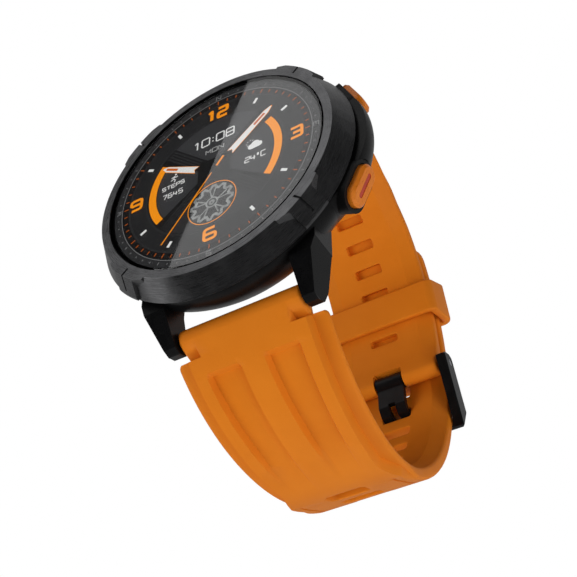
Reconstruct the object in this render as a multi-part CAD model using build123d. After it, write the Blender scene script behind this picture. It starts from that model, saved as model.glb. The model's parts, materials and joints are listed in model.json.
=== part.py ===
from build123d import *
import os
from math import atan2, cos, degrees, hypot, pi, radians, sin, sqrt

# A round sports watch, buckled shut, lying in its own frame.
# +Z points out of the dial, +Y to 12 o'clock, +X to 3 o'clock. The origin is the
# centre of the sensor window's outer face, where the watch meets the wrist.
# Millimetres throughout.

# ---------------------------------------------------------------- sizes
RUN_GAP = 0.05          # radial clearance of a pin in its hole
LOOSE_GAP = 0.15        # clearance of a part that is only dropped in
SOFT_GAP = 0.30         # clearance between a soft part and what moves past it

# heights of the stack, from the wrist upwards
WINDOW_T = 1.3          # sensor window, below its flange
WINDOW_FLANGE_T = 0.7
PAD_Z = 0.5             # raised pad around the window
BACK_Z = 1.2            # outer face of the case back
BACK_T = 1.25
CASE_Z = 1.6            # lowest edge of the case
LEDGE_T = 1.55          # ledge that the case back seats on
CASE_TOP_Z = 8.55       # seat of the bezel
SHOULDER_DROP = 0.35    # shadow gap between bezel and case
GLASS_SEAT_Z = 11.7
GLASS_GASKET_T = 0.2
GLASS_T = 0.7
DISPLAY_T = 1.2
DISPLAY_DROP = 0.05     # display below the glass seat
BOARD_T = 0.8

# radii of the case and what fills it
CASE_R = 22.9
CASE_BORE_R = 19.4
GUARD_R = 17.2          # bulge of the case between the buttons
GUARD_X = 8.1
BACK_R = 17.8
BACK_PAD_R = 13.0
BACK_MOUTH_R = 14.2
WINDOW_R = 8.5
WINDOW_FLANGE_R = 10.0
GLASS_R = 20.0
BEZEL_TOP_R = 21.6
BEZEL_R = 23.6
SEAL_R = 20.6
SEAL_D = 0.6

# bosses and slots on the bezel
BOSS_R = 22.35
BOSS_FOOT_R = 23.85
BOSS_W = 5.2
BOSS_FOOT_W = 9.4
BEZEL_SLOT_W = 0.4
BEZEL_SLOT_DEPTH = 0.3
BEZEL_SLOT_IN_R = 20.9
BEZEL_SLOT_LOW_Z = 10.1

# buttons
BUTTON_ANGLE = 25.0
BUTTON_Z = 5.75
BUTTON_FACE_R = 25.5
BUTTON_L = 7.4
BUTTON_H = 3.8
BUTTON_T = 2.1
BUTTON_TRAVEL = 0.7
BUTTON_CHAMFER = 0.45
STRIPE_L = 4.6
STRIPE_H = 0.8
STRIPE_DEPTH = 0.25
STEM_R = 1.1
STEM_END_R = 18.4
SLEEVE_L = 9.0
SLEEVE_H = 5.4
SLEEVE_IN_R = 21.2
SLEEVE_OUT_R = 24.4
SLEEVE_FLOOR = 0.6
O_RING_D = 0.7
O_RING_SEAT_R = 20.1    # where the stem's hole widens for the O-ring
CLIP_R = 1.6
CLIP_T = 0.35
COIL_WIRE = 0.22

# lugs and spring bars
LUG_GAP = 22.0
LUG_TIP_X = 13.1
LUG_ROOT_X = 15.4
BAR_Y = 24.2
BAR_Z = 2.2
BAR_R = 0.9
BAR_WALL = 0.28
BAR_END_GAP = 0.4
TIP_R = 0.5
TIP_IN = 1.1
SHANK_L = 3.4
LEVER_X = 8.0
LEVER_R = 0.45
LEVER_REACH = 1.6
LEVER_TILT = 40.0       # levers lean towards the middle of the loop
LEVER_TRAVEL = 1.5

# strap: the wrist ellipse and the layers on it
LOOP_A = 34.5
LOOP_B = 30.3
LOOP_Z = -21.75
BARREL_R = 1.9
FLANGE_T = 2.1
PAD_T = 3.8
STRAP_T = 3.0
OVERLAP_GAP = 0.2
STRAP_HALF_TOP = 13.2
STRAP_HALF_LOW = 10.3
SHOULDER_Z = -0.5
TAPER_END_Z = -35.75
PAD_INSET = 2.4
SLOT_L = 7.0            # slot at the strap's outer face
SLOT_W = 3.0
SLOT_IN_L = 5.8         # and at its inner face
SLOT_IN_W = 2.2
SLOT_PITCH = 5.2
LONG_SLOT_COUNT = 12
SLOTS_BEFORE_TONGUE = 7
POCKET_L = 5.7          # blind slots inside the short half
POCKET_W = 1.8
POCKET_DEPTH = 1.4
POCKET_PITCH = 5.4
POCKET_Y = 9.6          # the first of them
POCKET_COUNT = 7

# buckle and keeper
PIN_Y = -0.6
PIN_INWARDS = 0.4       # pin nearer the wrist than the middle of the strap's thickness
PIN_R = 0.75
ROLL_R = 1.75
FRAME_IN_X = 10.8
FRAME_OUT_X = 12.6
FRAME_CHAMFER = 0.25
CROSSBAR_AT_Y = -9.35   # place on the wrist ellipse that the crossbar lies below
CROSSBAR_R = 1.1
CROSSBAR_GAP = 0.3
TONGUE_HALF = 2.7
TONGUE_T = 1.1
TONGUE_HUB_R = 1.6
TONGUE_SLOT_Y = -7.4
PRONG_HALF_GAP = 0.7
PRONG_FROM_Y = -5.6     # where the tongue divides into two prongs
KEEPER_Y0 = 12.0
KEEPER_Y1 = 18.8
KEEPER_WALL = 1.5
KEEPER_SIDE = 1.6

# what fills the case
CARRIER_T = 3.35
BATTERY_X = (-14.3, 6.6)
BATTERY_Y = (-11.6, 11.6)
MOTOR_Y = 15.3
MOTOR_R = 1.55
MOTOR_X = (-6.0, 3.2)
ROTOR_X = (3.9, 6.9)
SPEAKER_X = (-5.5, 5.5)
SPEAKER_Y = (-17.3, -12.4)
MIC_X = (15.6, 18.6)
MIC_Y = (-1.9, 0.7)
SWITCH_R = (14.6, 17.3)
SWITCH_W = 3.6
RIBBON_X = (9.1, 9.3)
RIBBON_W = 4.0
SCREW_CIRCLE_R = 16.45
SCREW_R = 0.6
SCREW_HEAD_R = 1.05
SCREW_HEAD_T = 0.65
CONTACT_R = 0.7
CONTACT_CIRCLE_R = 11.55

# derived heights and radii
CAVITY_Z = BACK_Z + BACK_T + LEDGE_T
GLASS_Z = GLASS_SEAT_Z + GLASS_GASKET_T
TOP_Z = GLASS_Z + GLASS_T
DISPLAY_TOP_Z = GLASS_SEAT_Z - DISPLAY_DROP
DISPLAY_Z = DISPLAY_TOP_Z - DISPLAY_T
DISPLAY_R = CASE_BORE_R - 0.2
BOARD_Z = CAVITY_Z + CARRIER_T + 0.1
BOARD_TOP_Z = BOARD_Z + BOARD_T
WINDOW_TOP_Z = WINDOW_T + WINDOW_FLANGE_T
CARRIER_Z = CAVITY_Z + 0.05
MOTOR_Z = CARRIER_Z + CARRIER_T / 2
PART_LOW = CARRIER_Z + 0.1
PART_HIGH = CARRIER_Z + CARRIER_T - 0.2
CAP_BACK_R = BUTTON_FACE_R - BUTTON_T
SLEEVE_FLOOR_R = SLEEVE_IN_R + SLEEVE_FLOOR
O_RING_OUT_R = STEM_R + RUN_GAP + O_RING_D
BAR_HALF = LUG_GAP / 2 - BAR_END_GAP
STRAP_END_HALF = LUG_GAP / 2 - SOFT_GAP
SIDES = {"upper": BUTTON_ANGLE, "lower": -BUTTON_ANGLE}


# ---------------------------------------------------------------- helpers
def turned(points, angle=360.0):
    """Solid of revolution about Z of a closed outline of (radius, height) points."""
    outline = Plane.XZ * make_face(Polyline(*points, close=True))
    return revolve(outline, Axis.Z, angle)


def ring(r_in, r_out, low, high):
    return turned([(r_in, low), (r_out, low), (r_out, high), (r_in, high)])


def disc(r, low, high):
    return Pos(0, 0, (low + high) / 2) * Cylinder(r, high - low)


def block(x, y, z):
    """Box from its (low, high) pairs."""
    size = [b - a for a, b in (x, y, z)]
    middle = [(a + b) / 2 for a, b in (x, y, z)]
    return Pos(*middle) * Box(*size)


def rod_x(y, z, r, x0, x1):
    """Round bar along X."""
    return Pos((x0 + x1) / 2, y, z) * (Rot(0, 90, 0) * Cylinder(r, x1 - x0))


def side_profile(edges, half_width):
    """Outline in the YZ plane, made solid to both sides of X = 0."""
    return extrude(Plane.YZ * make_face(edges), half_width, both=True)


def radial_plane(angle, radius, height):
    """Plane that faces out of the case: local X runs round the case, local Y is up."""
    a = radians(angle)
    origin = (radius * cos(a), radius * sin(a), height)
    return Plane(origin=origin, x_dir=(-sin(a), cos(a), 0), z_dir=(cos(a), sin(a), 0))


def stadium(angle, r0, r1, length, height):
    """Slot-shaped block that stands on the case's side from radius r0 to r1."""
    outline = radial_plane(angle, r0, BUTTON_Z) * SlotOverall(length, height)
    return extrude(outline, r1 - r0)


def radial_rod(angle, r, r0, r1):
    return extrude(radial_plane(angle, r0, BUTTON_Z) * Circle(r), r1 - r0)


def coil(plane, mean_r, wire_r, length, turns):
    """Compression spring that starts on a plane and runs along its normal."""
    path = Helix(pitch=length / turns, height=length, radius=mean_r)
    section = Plane(origin=path @ 0, z_dir=path % 0) * Circle(wire_r)
    return plane.location * sweep(section, path=path, is_frenet=True)


# ---------------------------------------------------------------- strap path
def loop_point(angle, out=0.0):
    """(y, z) on the wrist ellipse at an angle from +Y, moved outwards."""
    a = radians(angle)
    ny, nz = cos(a) / LOOP_A, sin(a) / LOOP_B
    n = hypot(ny, nz)
    y = LOOP_A * cos(a) + out * ny / n
    z = LOOP_Z + LOOP_B * sin(a) + out * nz / n
    return y, z


def loop_tilt(angle):
    """Turn about X that carries +Z onto the ellipse's outward normal."""
    a = radians(angle)
    return degrees(atan2(-cos(a) / LOOP_A, sin(a) / LOOP_B))


def loop_walk(angle, distance):
    """Angle reached after going a distance along the ellipse."""
    steps = 40
    for _ in range(steps):
        a = radians(angle)
        speed = hypot(LOOP_A * sin(a), LOOP_B * cos(a))
        angle += degrees(distance / steps / speed)
    return angle


def low_angle(y):
    """Angle of the lower half of the ellipse at a given y."""
    return 360.0 - degrees(atan2(sqrt(1 - (y / LOOP_A) ** 2), y / LOOP_A))


LIFT_FROM = low_angle(6.0)
LIFT_TO = low_angle(28.0)
BAND_START = 132.0          # just inside the barrel at the 6 o'clock lugs
PAD_END = 203.0
TAIL_END = low_angle(25.35)
DEPTH = STRAP_T + OVERLAP_GAP
PIN_Z = loop_point(low_angle(PIN_Y), -(OVERLAP_GAP + STRAP_T / 2 + PIN_INWARDS))[1]
CROSSBAR_OUT = STRAP_T + CROSSBAR_GAP + CROSSBAR_R
CROSSBAR_Y, CROSSBAR_Z = loop_point(low_angle(CROSSBAR_AT_Y), CROSSBAR_OUT)


def lift(angle):
    """How far the strap's end has come out from under the tail."""
    share = (angle - LIFT_FROM) / (LIFT_TO - LIFT_FROM)
    return DEPTH * min(1.0, max(0.0, share))


def ramp(angle, a0, a1, v0, v1):
    """Value that goes smoothly from v0 at a0 to v1 at a1."""
    share = min(1.0, max(0.0, (angle - a0) / (a1 - a0)))
    return v0 + (v1 - v0) * (1 - cos(pi * share)) / 2


def tail_inner(angle):
    return lift(angle)


def flange_outer(angle):
    """Outer face of the base layer, thin beside the pad and full below it."""
    return lift(angle) + ramp(angle, 188.0, PAD_END, FLANGE_T, STRAP_T)


def pad_outer(angle):
    """Outer face of the raised pad, which grows at the lugs and fades below."""
    near_bar = ramp(angle, BAND_START, 146.0, 3.6, PAD_T)
    fade = ramp(angle, 186.0, PAD_END, 0.0, PAD_T - STRAP_T)
    return near_bar - fade


def short_inner(angle):
    return lift(angle) - DEPTH


def short_outer(angle):
    return short_inner(angle) + ramp(angle, 337.0, 352.0, STRAP_T, FLANGE_T)


def band(a0, a1, inner, outer, half_width, flip=False, steps=26):
    """Layer of strap between two offset functions of the ellipse's angle."""
    side = -1 if flip else 1
    angles = [a0 + (a1 - a0) * i / steps for i in range(steps + 1)]
    low = [loop_point(a, inner(a)) for a in angles]
    high = [loop_point(a, outer(a)) for a in reversed(angles)]
    low = [(side * y, z) for y, z in low]
    high = [(side * y, z) for y, z in high]
    edges = [Spline(*low), Line(low[-1], high[0]), Spline(*high), Line(high[-1], low[0])]
    return side_profile(edges, half_width)


def width_outline(inset):
    """Plan of the strap seen along Y: narrow between the lugs, wide below, tapering."""
    top, low = STRAP_HALF_TOP - inset, STRAP_HALF_LOW - inset
    end = min(top, STRAP_END_HALF)
    right = [(end, 8), (end, SHOULDER_Z), (top, SHOULDER_Z), (low, TAPER_END_Z), (low, -62)]
    left = [(-x, z) for x, z in reversed(right)]
    outline = [p for i, p in enumerate(right + left) if i == 0 or p != (right + left)[i - 1]]
    return extrude(Plane.XZ * make_face(Polyline(*outline, close=True)), 60, both=True)


def slot_cutter(angle):
    """Cutter for one slot through the long half, wider towards the outside."""
    def outline(height):
        share = height / STRAP_T
        length = SLOT_IN_L + (SLOT_L - SLOT_IN_L) * share
        width = SLOT_IN_W + (SLOT_W - SLOT_IN_W) * share
        return Pos(0, 0, height) * RectangleRounded(length, width, 0.7)

    y, z = loop_point(angle, tail_inner(angle))
    cutter = loft([outline(-0.6), outline(STRAP_T + 1.6)])
    return Pos(0, y, z) * (Rot(loop_tilt(angle), 0, 0) * cutter)


def pocket_cutter(angle):
    """Cutter for one blind slot in the inner face of the short half."""
    y, z = loop_point(angle, short_inner(angle) + POCKET_DEPTH)
    cutter = extrude(RectangleRounded(POCKET_L, POCKET_W, 0.5), -3)
    return Pos(0, y, z) * (Rot(loop_tilt(angle), 0, 0) * cutter)


def slot_angles(first, count, step):
    """Angles of a row of slots at an even pitch along the ellipse."""
    angles = [first]
    for _ in range(count - 1):
        angles.append(loop_walk(angles[-1], step))
    return angles


def strap_end(side):
    """Barrel round the spring bar."""
    return rod_x(side * BAR_Y, BAR_Z, BARREL_R, -STRAP_END_HALF, STRAP_END_HALF)


def strap_end_cuts(side):
    """Bore for the spring bar, and the recess that the release lever slides in."""
    bore = rod_x(side * BAR_Y, BAR_Z, BAR_R + RUN_GAP, -20, 20)
    low_x = LEVER_X - LEVER_TRAVEL - LEVER_R - SOFT_GAP
    high_x = LEVER_X + LEVER_R + SOFT_GAP
    height = LEVER_REACH + 2.4
    recess = Pos((low_x + high_x) / 2, 0, -height / 2) * Box(high_x - low_x, 2.0, height)
    return bore + Pos(0, side * BAR_Y, BAR_Z) * (Rot(-side * LEVER_TILT, 0, 0) * recess)


# ---------------------------------------------------------------- case
def case_side(r_max):
    """Outline of the case's side, from its lowest edge up to the shoulder."""
    low_r = r_max - 3.3
    shoulder_z = CASE_TOP_Z - SHOULDER_DROP
    return [
        Line((0, CASE_Z), (low_r, CASE_Z)),
        Spline((low_r, CASE_Z), (r_max - 0.7, 4.6), (r_max, 6.4), (r_max - 0.15, shoulder_z)),
        Line((r_max - 0.15, shoulder_z), (0, shoulder_z)),
        Line((0, shoulder_z), (0, CASE_Z)),
    ]


def turned_side(r_max):
    return revolve(Plane.XZ * make_face(case_side(r_max)), Axis.Z)


def lug(sx, sy):
    """One lug: a blade that leans out and down from the case's side."""
    side = [(13, 7.6), (20.9, 7.6), (25.9, 3.9), (26.3, 2.6), (25.6, 0.9), (24.0, 0.7),
            (19.0, 2.3), (13, 2.3)]
    plan = [(LUG_GAP / 2, 13), (LUG_GAP / 2, 27), (LUG_TIP_X, 27), (LUG_TIP_X, 26),
            (LUG_ROOT_X, 18.6), (LUG_ROOT_X, 13)]
    shape = extrude(Plane.YZ * make_face(Polyline(*side, close=True)), 18)
    shape &= extrude(make_face(Polyline(*plan, close=True)), 10)
    tip_edges = shape.edges().filter_by(Axis.X).group_by(Axis.Y)[-1]
    shape = fillet(tip_edges, 0.5)
    if sx < 0:
        shape = mirror(shape, Plane.YZ)
    if sy < 0:
        shape = mirror(shape, Plane.XZ)
    return shape


def case_body():
    body = turned_side(CASE_R)
    body += Pos(GUARD_X, 0, 0) * turned_side(GUARD_R)
    body += ring(CASE_BORE_R - 1, BEZEL_TOP_R, CASE_TOP_Z - 2, CASE_TOP_Z)
    for sx in (-1, 1):
        for sy in (-1, 1):
            body += lug(sx, sy)
    body -= disc(CASE_BORE_R, CAVITY_Z, CASE_TOP_Z + 1)
    body -= disc(BACK_MOUTH_R, CASE_Z - 1, CAVITY_Z + 1)
    body -= disc(BACK_R + RUN_GAP, CASE_Z - 1, BACK_Z + BACK_T)
    body -= ring(SEAL_R - SEAL_D / 2, SEAL_R + SEAL_D / 2, CASE_TOP_Z - SEAL_D, CASE_TOP_Z + 1)
    groove_z = BACK_Z + BACK_T
    body -= ring(BACK_MOUTH_R + 0.4, BACK_MOUTH_R + 1.1, groove_z - 1, groove_z + 0.3)
    for angle in SIDES.values():
        body -= stadium(angle, SLEEVE_IN_R, SLEEVE_OUT_R + 3, SLEEVE_L, SLEEVE_H)
        body -= radial_rod(angle, STEM_R + RUN_GAP, CASE_BORE_R - 1, SLEEVE_IN_R)
        body -= radial_rod(angle, O_RING_OUT_R, O_RING_SEAT_R, SLEEVE_IN_R + 0.1)
    for sy in (-1, 1):
        for sx in (-1, 1):
            x0, x1 = sorted((sx * (LUG_GAP / 2 - 1), sx * (LUG_GAP / 2 + TIP_IN + 0.1)))
            body -= rod_x(sy * BAR_Y, BAR_Z, TIP_R + RUN_GAP, x0, x1)
    for x, y in screw_places():
        body -= Pos(x, y, 3) * Cylinder(SCREW_R, 1.6)
    body -= extrude(radial_plane(-2.0, 17, 6.1) * Circle(0.35), 12)
    return body


def screw_places():
    c = SCREW_CIRCLE_R / sqrt(2)
    return [(c, c), (-c, c), (-c, -c), (c, -c)]


def case_back():
    top = BACK_Z + BACK_T
    body = disc(BACK_R, BACK_Z, top) + disc(BACK_PAD_R, PAD_Z, top)
    body = chamfer(body.edges().group_by(Axis.Z)[0], 0.3)
    body -= disc(WINDOW_R + RUN_GAP, 0, top)
    body -= disc(WINDOW_FLANGE_R + RUN_GAP, WINDOW_T, top + 1)
    for x, y in screw_places():
        body -= Pos(x, y, 0) * disc(SCREW_R + 0.05, 0, top + 1)
        body -= Pos(x, y, 0) * disc(SCREW_HEAD_R + RUN_GAP, 0, BACK_Z + SCREW_HEAD_T)
    for x, y in contact_places():
        body -= Pos(x, y, 0) * disc(CONTACT_R, 0, top + 1)
    return body


def contact_places():
    return [(CONTACT_CIRCLE_R * sin(radians(a)), -CONTACT_CIRCLE_R * cos(radians(a)))
            for a in (-21, -7, 7, 21)]


def charging_contacts():
    pins = [Pos(x, y, 0) * disc(CONTACT_R, PAD_Z, BACK_Z + BACK_T + 0.4)
            for x, y in contact_places()]
    return Compound(children=[p.solid() for p in pins])


def case_screws():
    """Four screws with a six-sided socket."""
    solids = []
    for x, y in screw_places():
        head = disc(SCREW_HEAD_R, BACK_Z + 0.05, BACK_Z + SCREW_HEAD_T)
        shank = disc(SCREW_R, BACK_Z + SCREW_HEAD_T - 0.1, 3.75)
        socket = extrude(Pos(0, 0, BACK_Z) * RegularPolygon(0.5, 6), 0.4)
        solids.append((Pos(x, y, 0) * (head + shank - socket)).solid())
    return Compound(children=solids)


def back_gasket():
    z = BACK_Z + BACK_T
    return ring(BACK_MOUTH_R + 0.4, BACK_MOUTH_R + 1.1, z, z + 0.3)


def sensor_window():
    body = disc(WINDOW_R, 0, WINDOW_T + 0.1) + disc(WINDOW_FLANGE_R, WINDOW_T, WINDOW_TOP_Z)
    body = chamfer(body.edges().group_by(Axis.Z)[0], 0.25)
    return body - disc(WINDOW_R - 1.5, 0.9, WINDOW_TOP_Z + 1)


def sensor_board():
    return disc(WINDOW_FLANGE_R - 0.3, WINDOW_TOP_Z, WINDOW_TOP_Z + BOARD_T)


def sensor_leds():
    """Two lamps in the middle and four light detectors round them."""
    low, high = WINDOW_TOP_Z - 0.7, WINDOW_TOP_Z
    places = [(-1.1, 0, 1.6), (1.1, 0, 1.6), (-4.4, 0, 2.4), (4.4, 0, 2.4), (0, -4.4, 2.4),
              (0, 4.4, 2.4)]
    solids = []
    for x, y, size in places:
        solids.append((Pos(x, y, (low + high) / 2) * Box(size, size, high - low)).solid())
    return Compound(children=solids)


# ---------------------------------------------------------------- bezel and display
def bezel():
    """Ring with a conical side, four bosses and a thin slot in each."""
    in_r = CASE_BORE_R + 0.05
    low = CASE_TOP_Z
    body = turned([(in_r, low), (BEZEL_R - 0.3, low), (BEZEL_R, low + 0.3),
                   (BEZEL_TOP_R, TOP_Z), (GLASS_R + LOOSE_GAP, TOP_Z),
                   (GLASS_R + LOOSE_GAP, GLASS_SEAT_Z), (in_r, GLASS_SEAT_Z)])
    hull = turned([(BEZEL_TOP_R - 1, low + 0.4), (BOSS_FOOT_R, low + 0.4),
                   (BOSS_FOOT_R, low + 0.9), (BOSS_R, TOP_Z), (BEZEL_TOP_R - 1, TOP_Z)])
    foot, tip = BOSS_FOOT_W / 2, BOSS_W / 2
    wedge = Polyline((BEZEL_TOP_R - 0.9, -foot), (BEZEL_TOP_R - 0.1, -foot), (BOSS_R, -tip),
                     (BOSS_FOOT_R + 1, -tip), (BOSS_FOOT_R + 1, tip), (BOSS_R, tip),
                     (BEZEL_TOP_R - 0.1, foot), (BEZEL_TOP_R - 0.9, foot), close=True)
    slot = Polyline((BEZEL_SLOT_IN_R, TOP_Z + 1), (BEZEL_SLOT_IN_R, TOP_Z - BEZEL_SLOT_DEPTH),
                    (BOSS_R - BEZEL_SLOT_DEPTH, TOP_Z - BEZEL_SLOT_DEPTH),
                    (BOSS_FOOT_R - 0.6, BEZEL_SLOT_LOW_Z), (BOSS_FOOT_R + 2, BEZEL_SLOT_LOW_Z),
                    (BOSS_FOOT_R + 2, TOP_Z + 1), close=True)
    boss = extrude(make_face(wedge), 20) & hull
    cutter = extrude(Plane.XZ * make_face(slot), BEZEL_SLOT_W / 2, both=True)
    for turn in (45, 135, 225, 315):
        body += Rot(0, 0, turn) * boss
    for turn in (45, 135, 225, 315):
        body -= Rot(0, 0, turn) * cutter
    return body


def glass():
    body = disc(GLASS_R, GLASS_Z, TOP_Z)
    return chamfer(body.edges().group_by(Axis.Z)[-1], 0.12)


def glass_gasket():
    return ring(CASE_BORE_R + 0.1, GLASS_R, GLASS_SEAT_Z, GLASS_Z)


def bezel_seal():
    return ring(SEAL_R - SEAL_D / 2, SEAL_R + SEAL_D / 2, CASE_TOP_Z - SEAL_D, CASE_TOP_Z)


def display_panel():
    return disc(DISPLAY_R, DISPLAY_Z, DISPLAY_TOP_Z)


def display_frame():
    return ring(DISPLAY_R - 0.6, DISPLAY_R, BOARD_TOP_Z, DISPLAY_Z)


def display_ribbon():
    """Flat flexible lead from the display's underside down to its socket."""
    y, t, z0, z1 = -15.6, 0.15, BOARD_TOP_Z + 0.5, DISPLAY_Z
    sheet = block((-4, 4), (y, y + t), (z0, z1))
    sheet += block((-4, 4), (y, y + 2.4), (z1 - t, z1))
    return sheet + block((-4, 4), (y - 1.2, y + t), (z0, z0 + t))


# ---------------------------------------------------------------- inside the case
def ribbon_slot():
    """Slot that the sensor's ribbon passes through."""
    side = RIBBON_W / 2 + SOFT_GAP
    x = (RIBBON_X[0] - SOFT_GAP, RIBBON_X[1] + SOFT_GAP)
    return block(x, (-side, side), (CARRIER_Z - 1, BOARD_TOP_Z + 1))


def carrier():
    """Plastic plate that every inner part drops into."""
    low, high = CARRIER_Z, CARRIER_Z + CARRIER_T
    g = LOOSE_GAP
    span = (low - 1, high + 1)
    body = disc(CASE_BORE_R - 0.3, low, high)
    for x, y in ((BATTERY_X, BATTERY_Y), (SPEAKER_X, SPEAKER_Y), (MIC_X, MIC_Y)):
        body -= block((x[0] - g, x[1] + g), (y[0] - g, y[1] + g), span)
    motor_y = (MOTOR_Y - MOTOR_R - g, MOTOR_Y + MOTOR_R + g)
    body -= block((MOTOR_X[0] - g, ROTOR_X[1] + g), motor_y, span)
    for angle in SIDES.values():
        pocket = block((SWITCH_R[0] - g, 25), (-SWITCH_W / 2 - g, SWITCH_W / 2 + g), span)
        pocket += block((STEM_END_R - 1.2, 25), (-CLIP_R - 0.3, CLIP_R + 0.3), span)
        body -= Rot(0, 0, angle) * pocket
    return body - ribbon_slot()


def battery():
    body = block(BATTERY_X, BATTERY_Y, (PART_LOW, PART_HIGH))
    return fillet(body.edges().filter_by(Axis.Z), 2.0)


def main_board():
    body = disc(CASE_BORE_R - 0.4, BOARD_Z, BOARD_TOP_Z)
    return body - ribbon_slot()


def board_chips():
    """Processor, memory, power, radio and the two sockets."""
    places = [(0, 3, 7.0, 7.0, 0.9), (-8.5, 4, 5.0, 6.0, 0.8), (-8.5, -5, 6.0, 5.0, 0.7),
              (7.5, -7.5, 5.0, 4.5, 0.9), (0, -8, 4.0, 4.0, 0.8), (5.0, 12.3, 4.5, 3.0, 0.7),
              (-5.5, 12.3, 3.2, 2.5, 0.7), (12.4, 2, 2.4, 4.6, 0.9), (0, -16.6, 8.6, 1.4, 0.45)]
    solids = []
    for x, y, w, d, h in places:
        solids.append((Pos(x, y, BOARD_TOP_Z + h / 2) * Box(w, d, h)).solid())
    return Compound(children=solids)


def sensor_ribbon():
    low, high = WINDOW_TOP_Z + BOARD_T, BOARD_TOP_Z
    return block(RIBBON_X, (-RIBBON_W / 2, RIBBON_W / 2), (low, high))


def antenna():
    """Curved metal strip for the satellite receiver, along the 9 o'clock edge."""
    r_out = DISPLAY_R - 0.8
    strip = turned([(r_out - 0.4, BOARD_TOP_Z), (r_out, BOARD_TOP_Z),
                    (r_out, BOARD_TOP_Z + 1.6), (r_out - 0.4, BOARD_TOP_Z + 1.6)], 150)
    return Rot(0, 0, 105) * strip


def speaker():
    body = block(SPEAKER_X, SPEAKER_Y, (PART_LOW, PART_HIGH))
    return fillet(body.edges().filter_by(Axis.Z), 1.2)


def microphone():
    return block(MIC_X, MIC_Y, (BUTTON_Z - 0.6, BUTTON_Z + 1.2))


def motor_body():
    """Vibration motor's can, with the shaft hole at its 3 o'clock end."""
    can = rod_x(MOTOR_Y, MOTOR_Z, MOTOR_R, *MOTOR_X)
    return can - rod_x(MOTOR_Y, MOTOR_Z, 0.3 + RUN_GAP, MOTOR_X[1] - 2.5, MOTOR_X[1] + 1)


def motor_rotor():
    """Half-round weight on the motor's shaft."""
    weight = rod_x(MOTOR_Y, MOTOR_Z, MOTOR_R - 0.1, *ROTOR_X)
    weight -= block((0, 10), (MOTOR_Y - 3, MOTOR_Y + 3), (MOTOR_Z + 0.5, MOTOR_Z + 3))
    return weight + rod_x(MOTOR_Y, MOTOR_Z, 0.3, MOTOR_X[1] - 2.4, ROTOR_X[1])


# ---------------------------------------------------------------- buttons
def tact_switch(angle):
    low, high = BUTTON_Z - 1.3, BUTTON_Z + 1.2
    body = block(SWITCH_R, (-SWITCH_W / 2, SWITCH_W / 2), (low, high))
    body = Rot(0, 0, angle) * body
    return body + radial_rod(angle, 0.8, SWITCH_R[1] - 0.2, STEM_END_R - BUTTON_TRAVEL - 0.05)


def button_cap(angle):
    """Cap and stem in one piece, with a sunk stripe along the face."""
    cap = stadium(angle, CAP_BACK_R, BUTTON_FACE_R, BUTTON_L, BUTTON_H)
    axis = Axis((0, 0, 0), (cos(radians(angle)), sin(radians(angle)), 0))
    cap = chamfer(cap.faces().sort_by(axis)[-1].edges(), BUTTON_CHAMFER)
    cap -= stadium(angle, BUTTON_FACE_R - STRIPE_DEPTH, BUTTON_FACE_R + 1, STRIPE_L, STRIPE_H)
    cap += radial_rod(angle, STEM_R, STEM_END_R, CAP_BACK_R + 0.3)
    clip_mid = clip_r0() + CLIP_T / 2
    groove = radial_rod(angle, STEM_R + 1, clip_mid - CLIP_T / 2, clip_mid + CLIP_T / 2)
    groove -= radial_rod(angle, STEM_R - 0.3, clip_mid - 1, clip_mid + 1)
    return cap - groove


def button_stripe(angle):
    """Coloured inlay in the cap's stripe."""
    return stadium(angle, BUTTON_FACE_R - STRIPE_DEPTH, BUTTON_FACE_R - 0.08, STRIPE_L, STRIPE_H)


def clip_r0():
    """Inner radius of the clip's place, just inside the case's bore."""
    return sqrt(CASE_BORE_R ** 2 - CLIP_R ** 2) - CLIP_T - 0.1


def button_clip(angle):
    """Retaining clip: an open ring in the stem's groove."""
    r0 = clip_r0()
    body = radial_rod(angle, CLIP_R, r0, r0 + CLIP_T)
    body -= radial_rod(angle, STEM_R - 0.3, r0 - 1, r0 + 1)
    mouth = extrude(radial_plane(angle, r0 - 1, BUTTON_Z - CLIP_R) * Rectangle(1.2, 2.4), 3)
    return body - mouth


def button_sleeve(angle):
    """Guard pressed into the case: a pocket for the cap and a hole for the stem."""
    body = stadium(angle, SLEEVE_IN_R, SLEEVE_OUT_R, SLEEVE_L, SLEEVE_H)
    pocket_l, pocket_h = BUTTON_L + 2 * LOOSE_GAP, BUTTON_H + 2 * LOOSE_GAP
    body -= stadium(angle, SLEEVE_FLOOR_R, SLEEVE_OUT_R + 1, pocket_l, pocket_h)
    return body - radial_rod(angle, STEM_R + RUN_GAP, SLEEVE_IN_R - 1, SLEEVE_FLOOR_R + 1)


def button_seal(angle):
    """O-ring that sits in the case wall, round the stem."""
    plane = radial_plane(angle, (O_RING_SEAT_R + SLEEVE_IN_R) / 2, BUTTON_Z)
    return plane.location * Torus(O_RING_OUT_R - O_RING_D / 2, O_RING_D / 2)


def button_spring(angle):
    plane = radial_plane(angle, SLEEVE_FLOOR_R + COIL_WIRE / 2, BUTTON_Z)
    length = CAP_BACK_R - SLEEVE_FLOOR_R - COIL_WIRE
    return coil(plane, STEM_R + 0.35, COIL_WIRE / 2, length, 2.5)


# ---------------------------------------------------------------- spring bars
def bar_tube(side):
    """Hollow bar with a slit that the release lever slides in."""
    body = rod_x(side * BAR_Y, BAR_Z, BAR_R, -BAR_HALF, BAR_HALF)
    body -= rod_x(side * BAR_Y, BAR_Z, BAR_R - BAR_WALL, -20, 20)
    low_x = LEVER_X - LEVER_TRAVEL - LEVER_R - RUN_GAP
    high_x = LEVER_X + LEVER_R + RUN_GAP
    slit = Pos((low_x + high_x) / 2, 0, -1) * Box(high_x - low_x, 2 * (LEVER_R + RUN_GAP), 2)
    return body - Pos(0, side * BAR_Y, BAR_Z) * (Rot(-side * LEVER_TILT, 0, 0) * slit)


def bar_shank_r():
    return BAR_R - BAR_WALL - RUN_GAP


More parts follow.
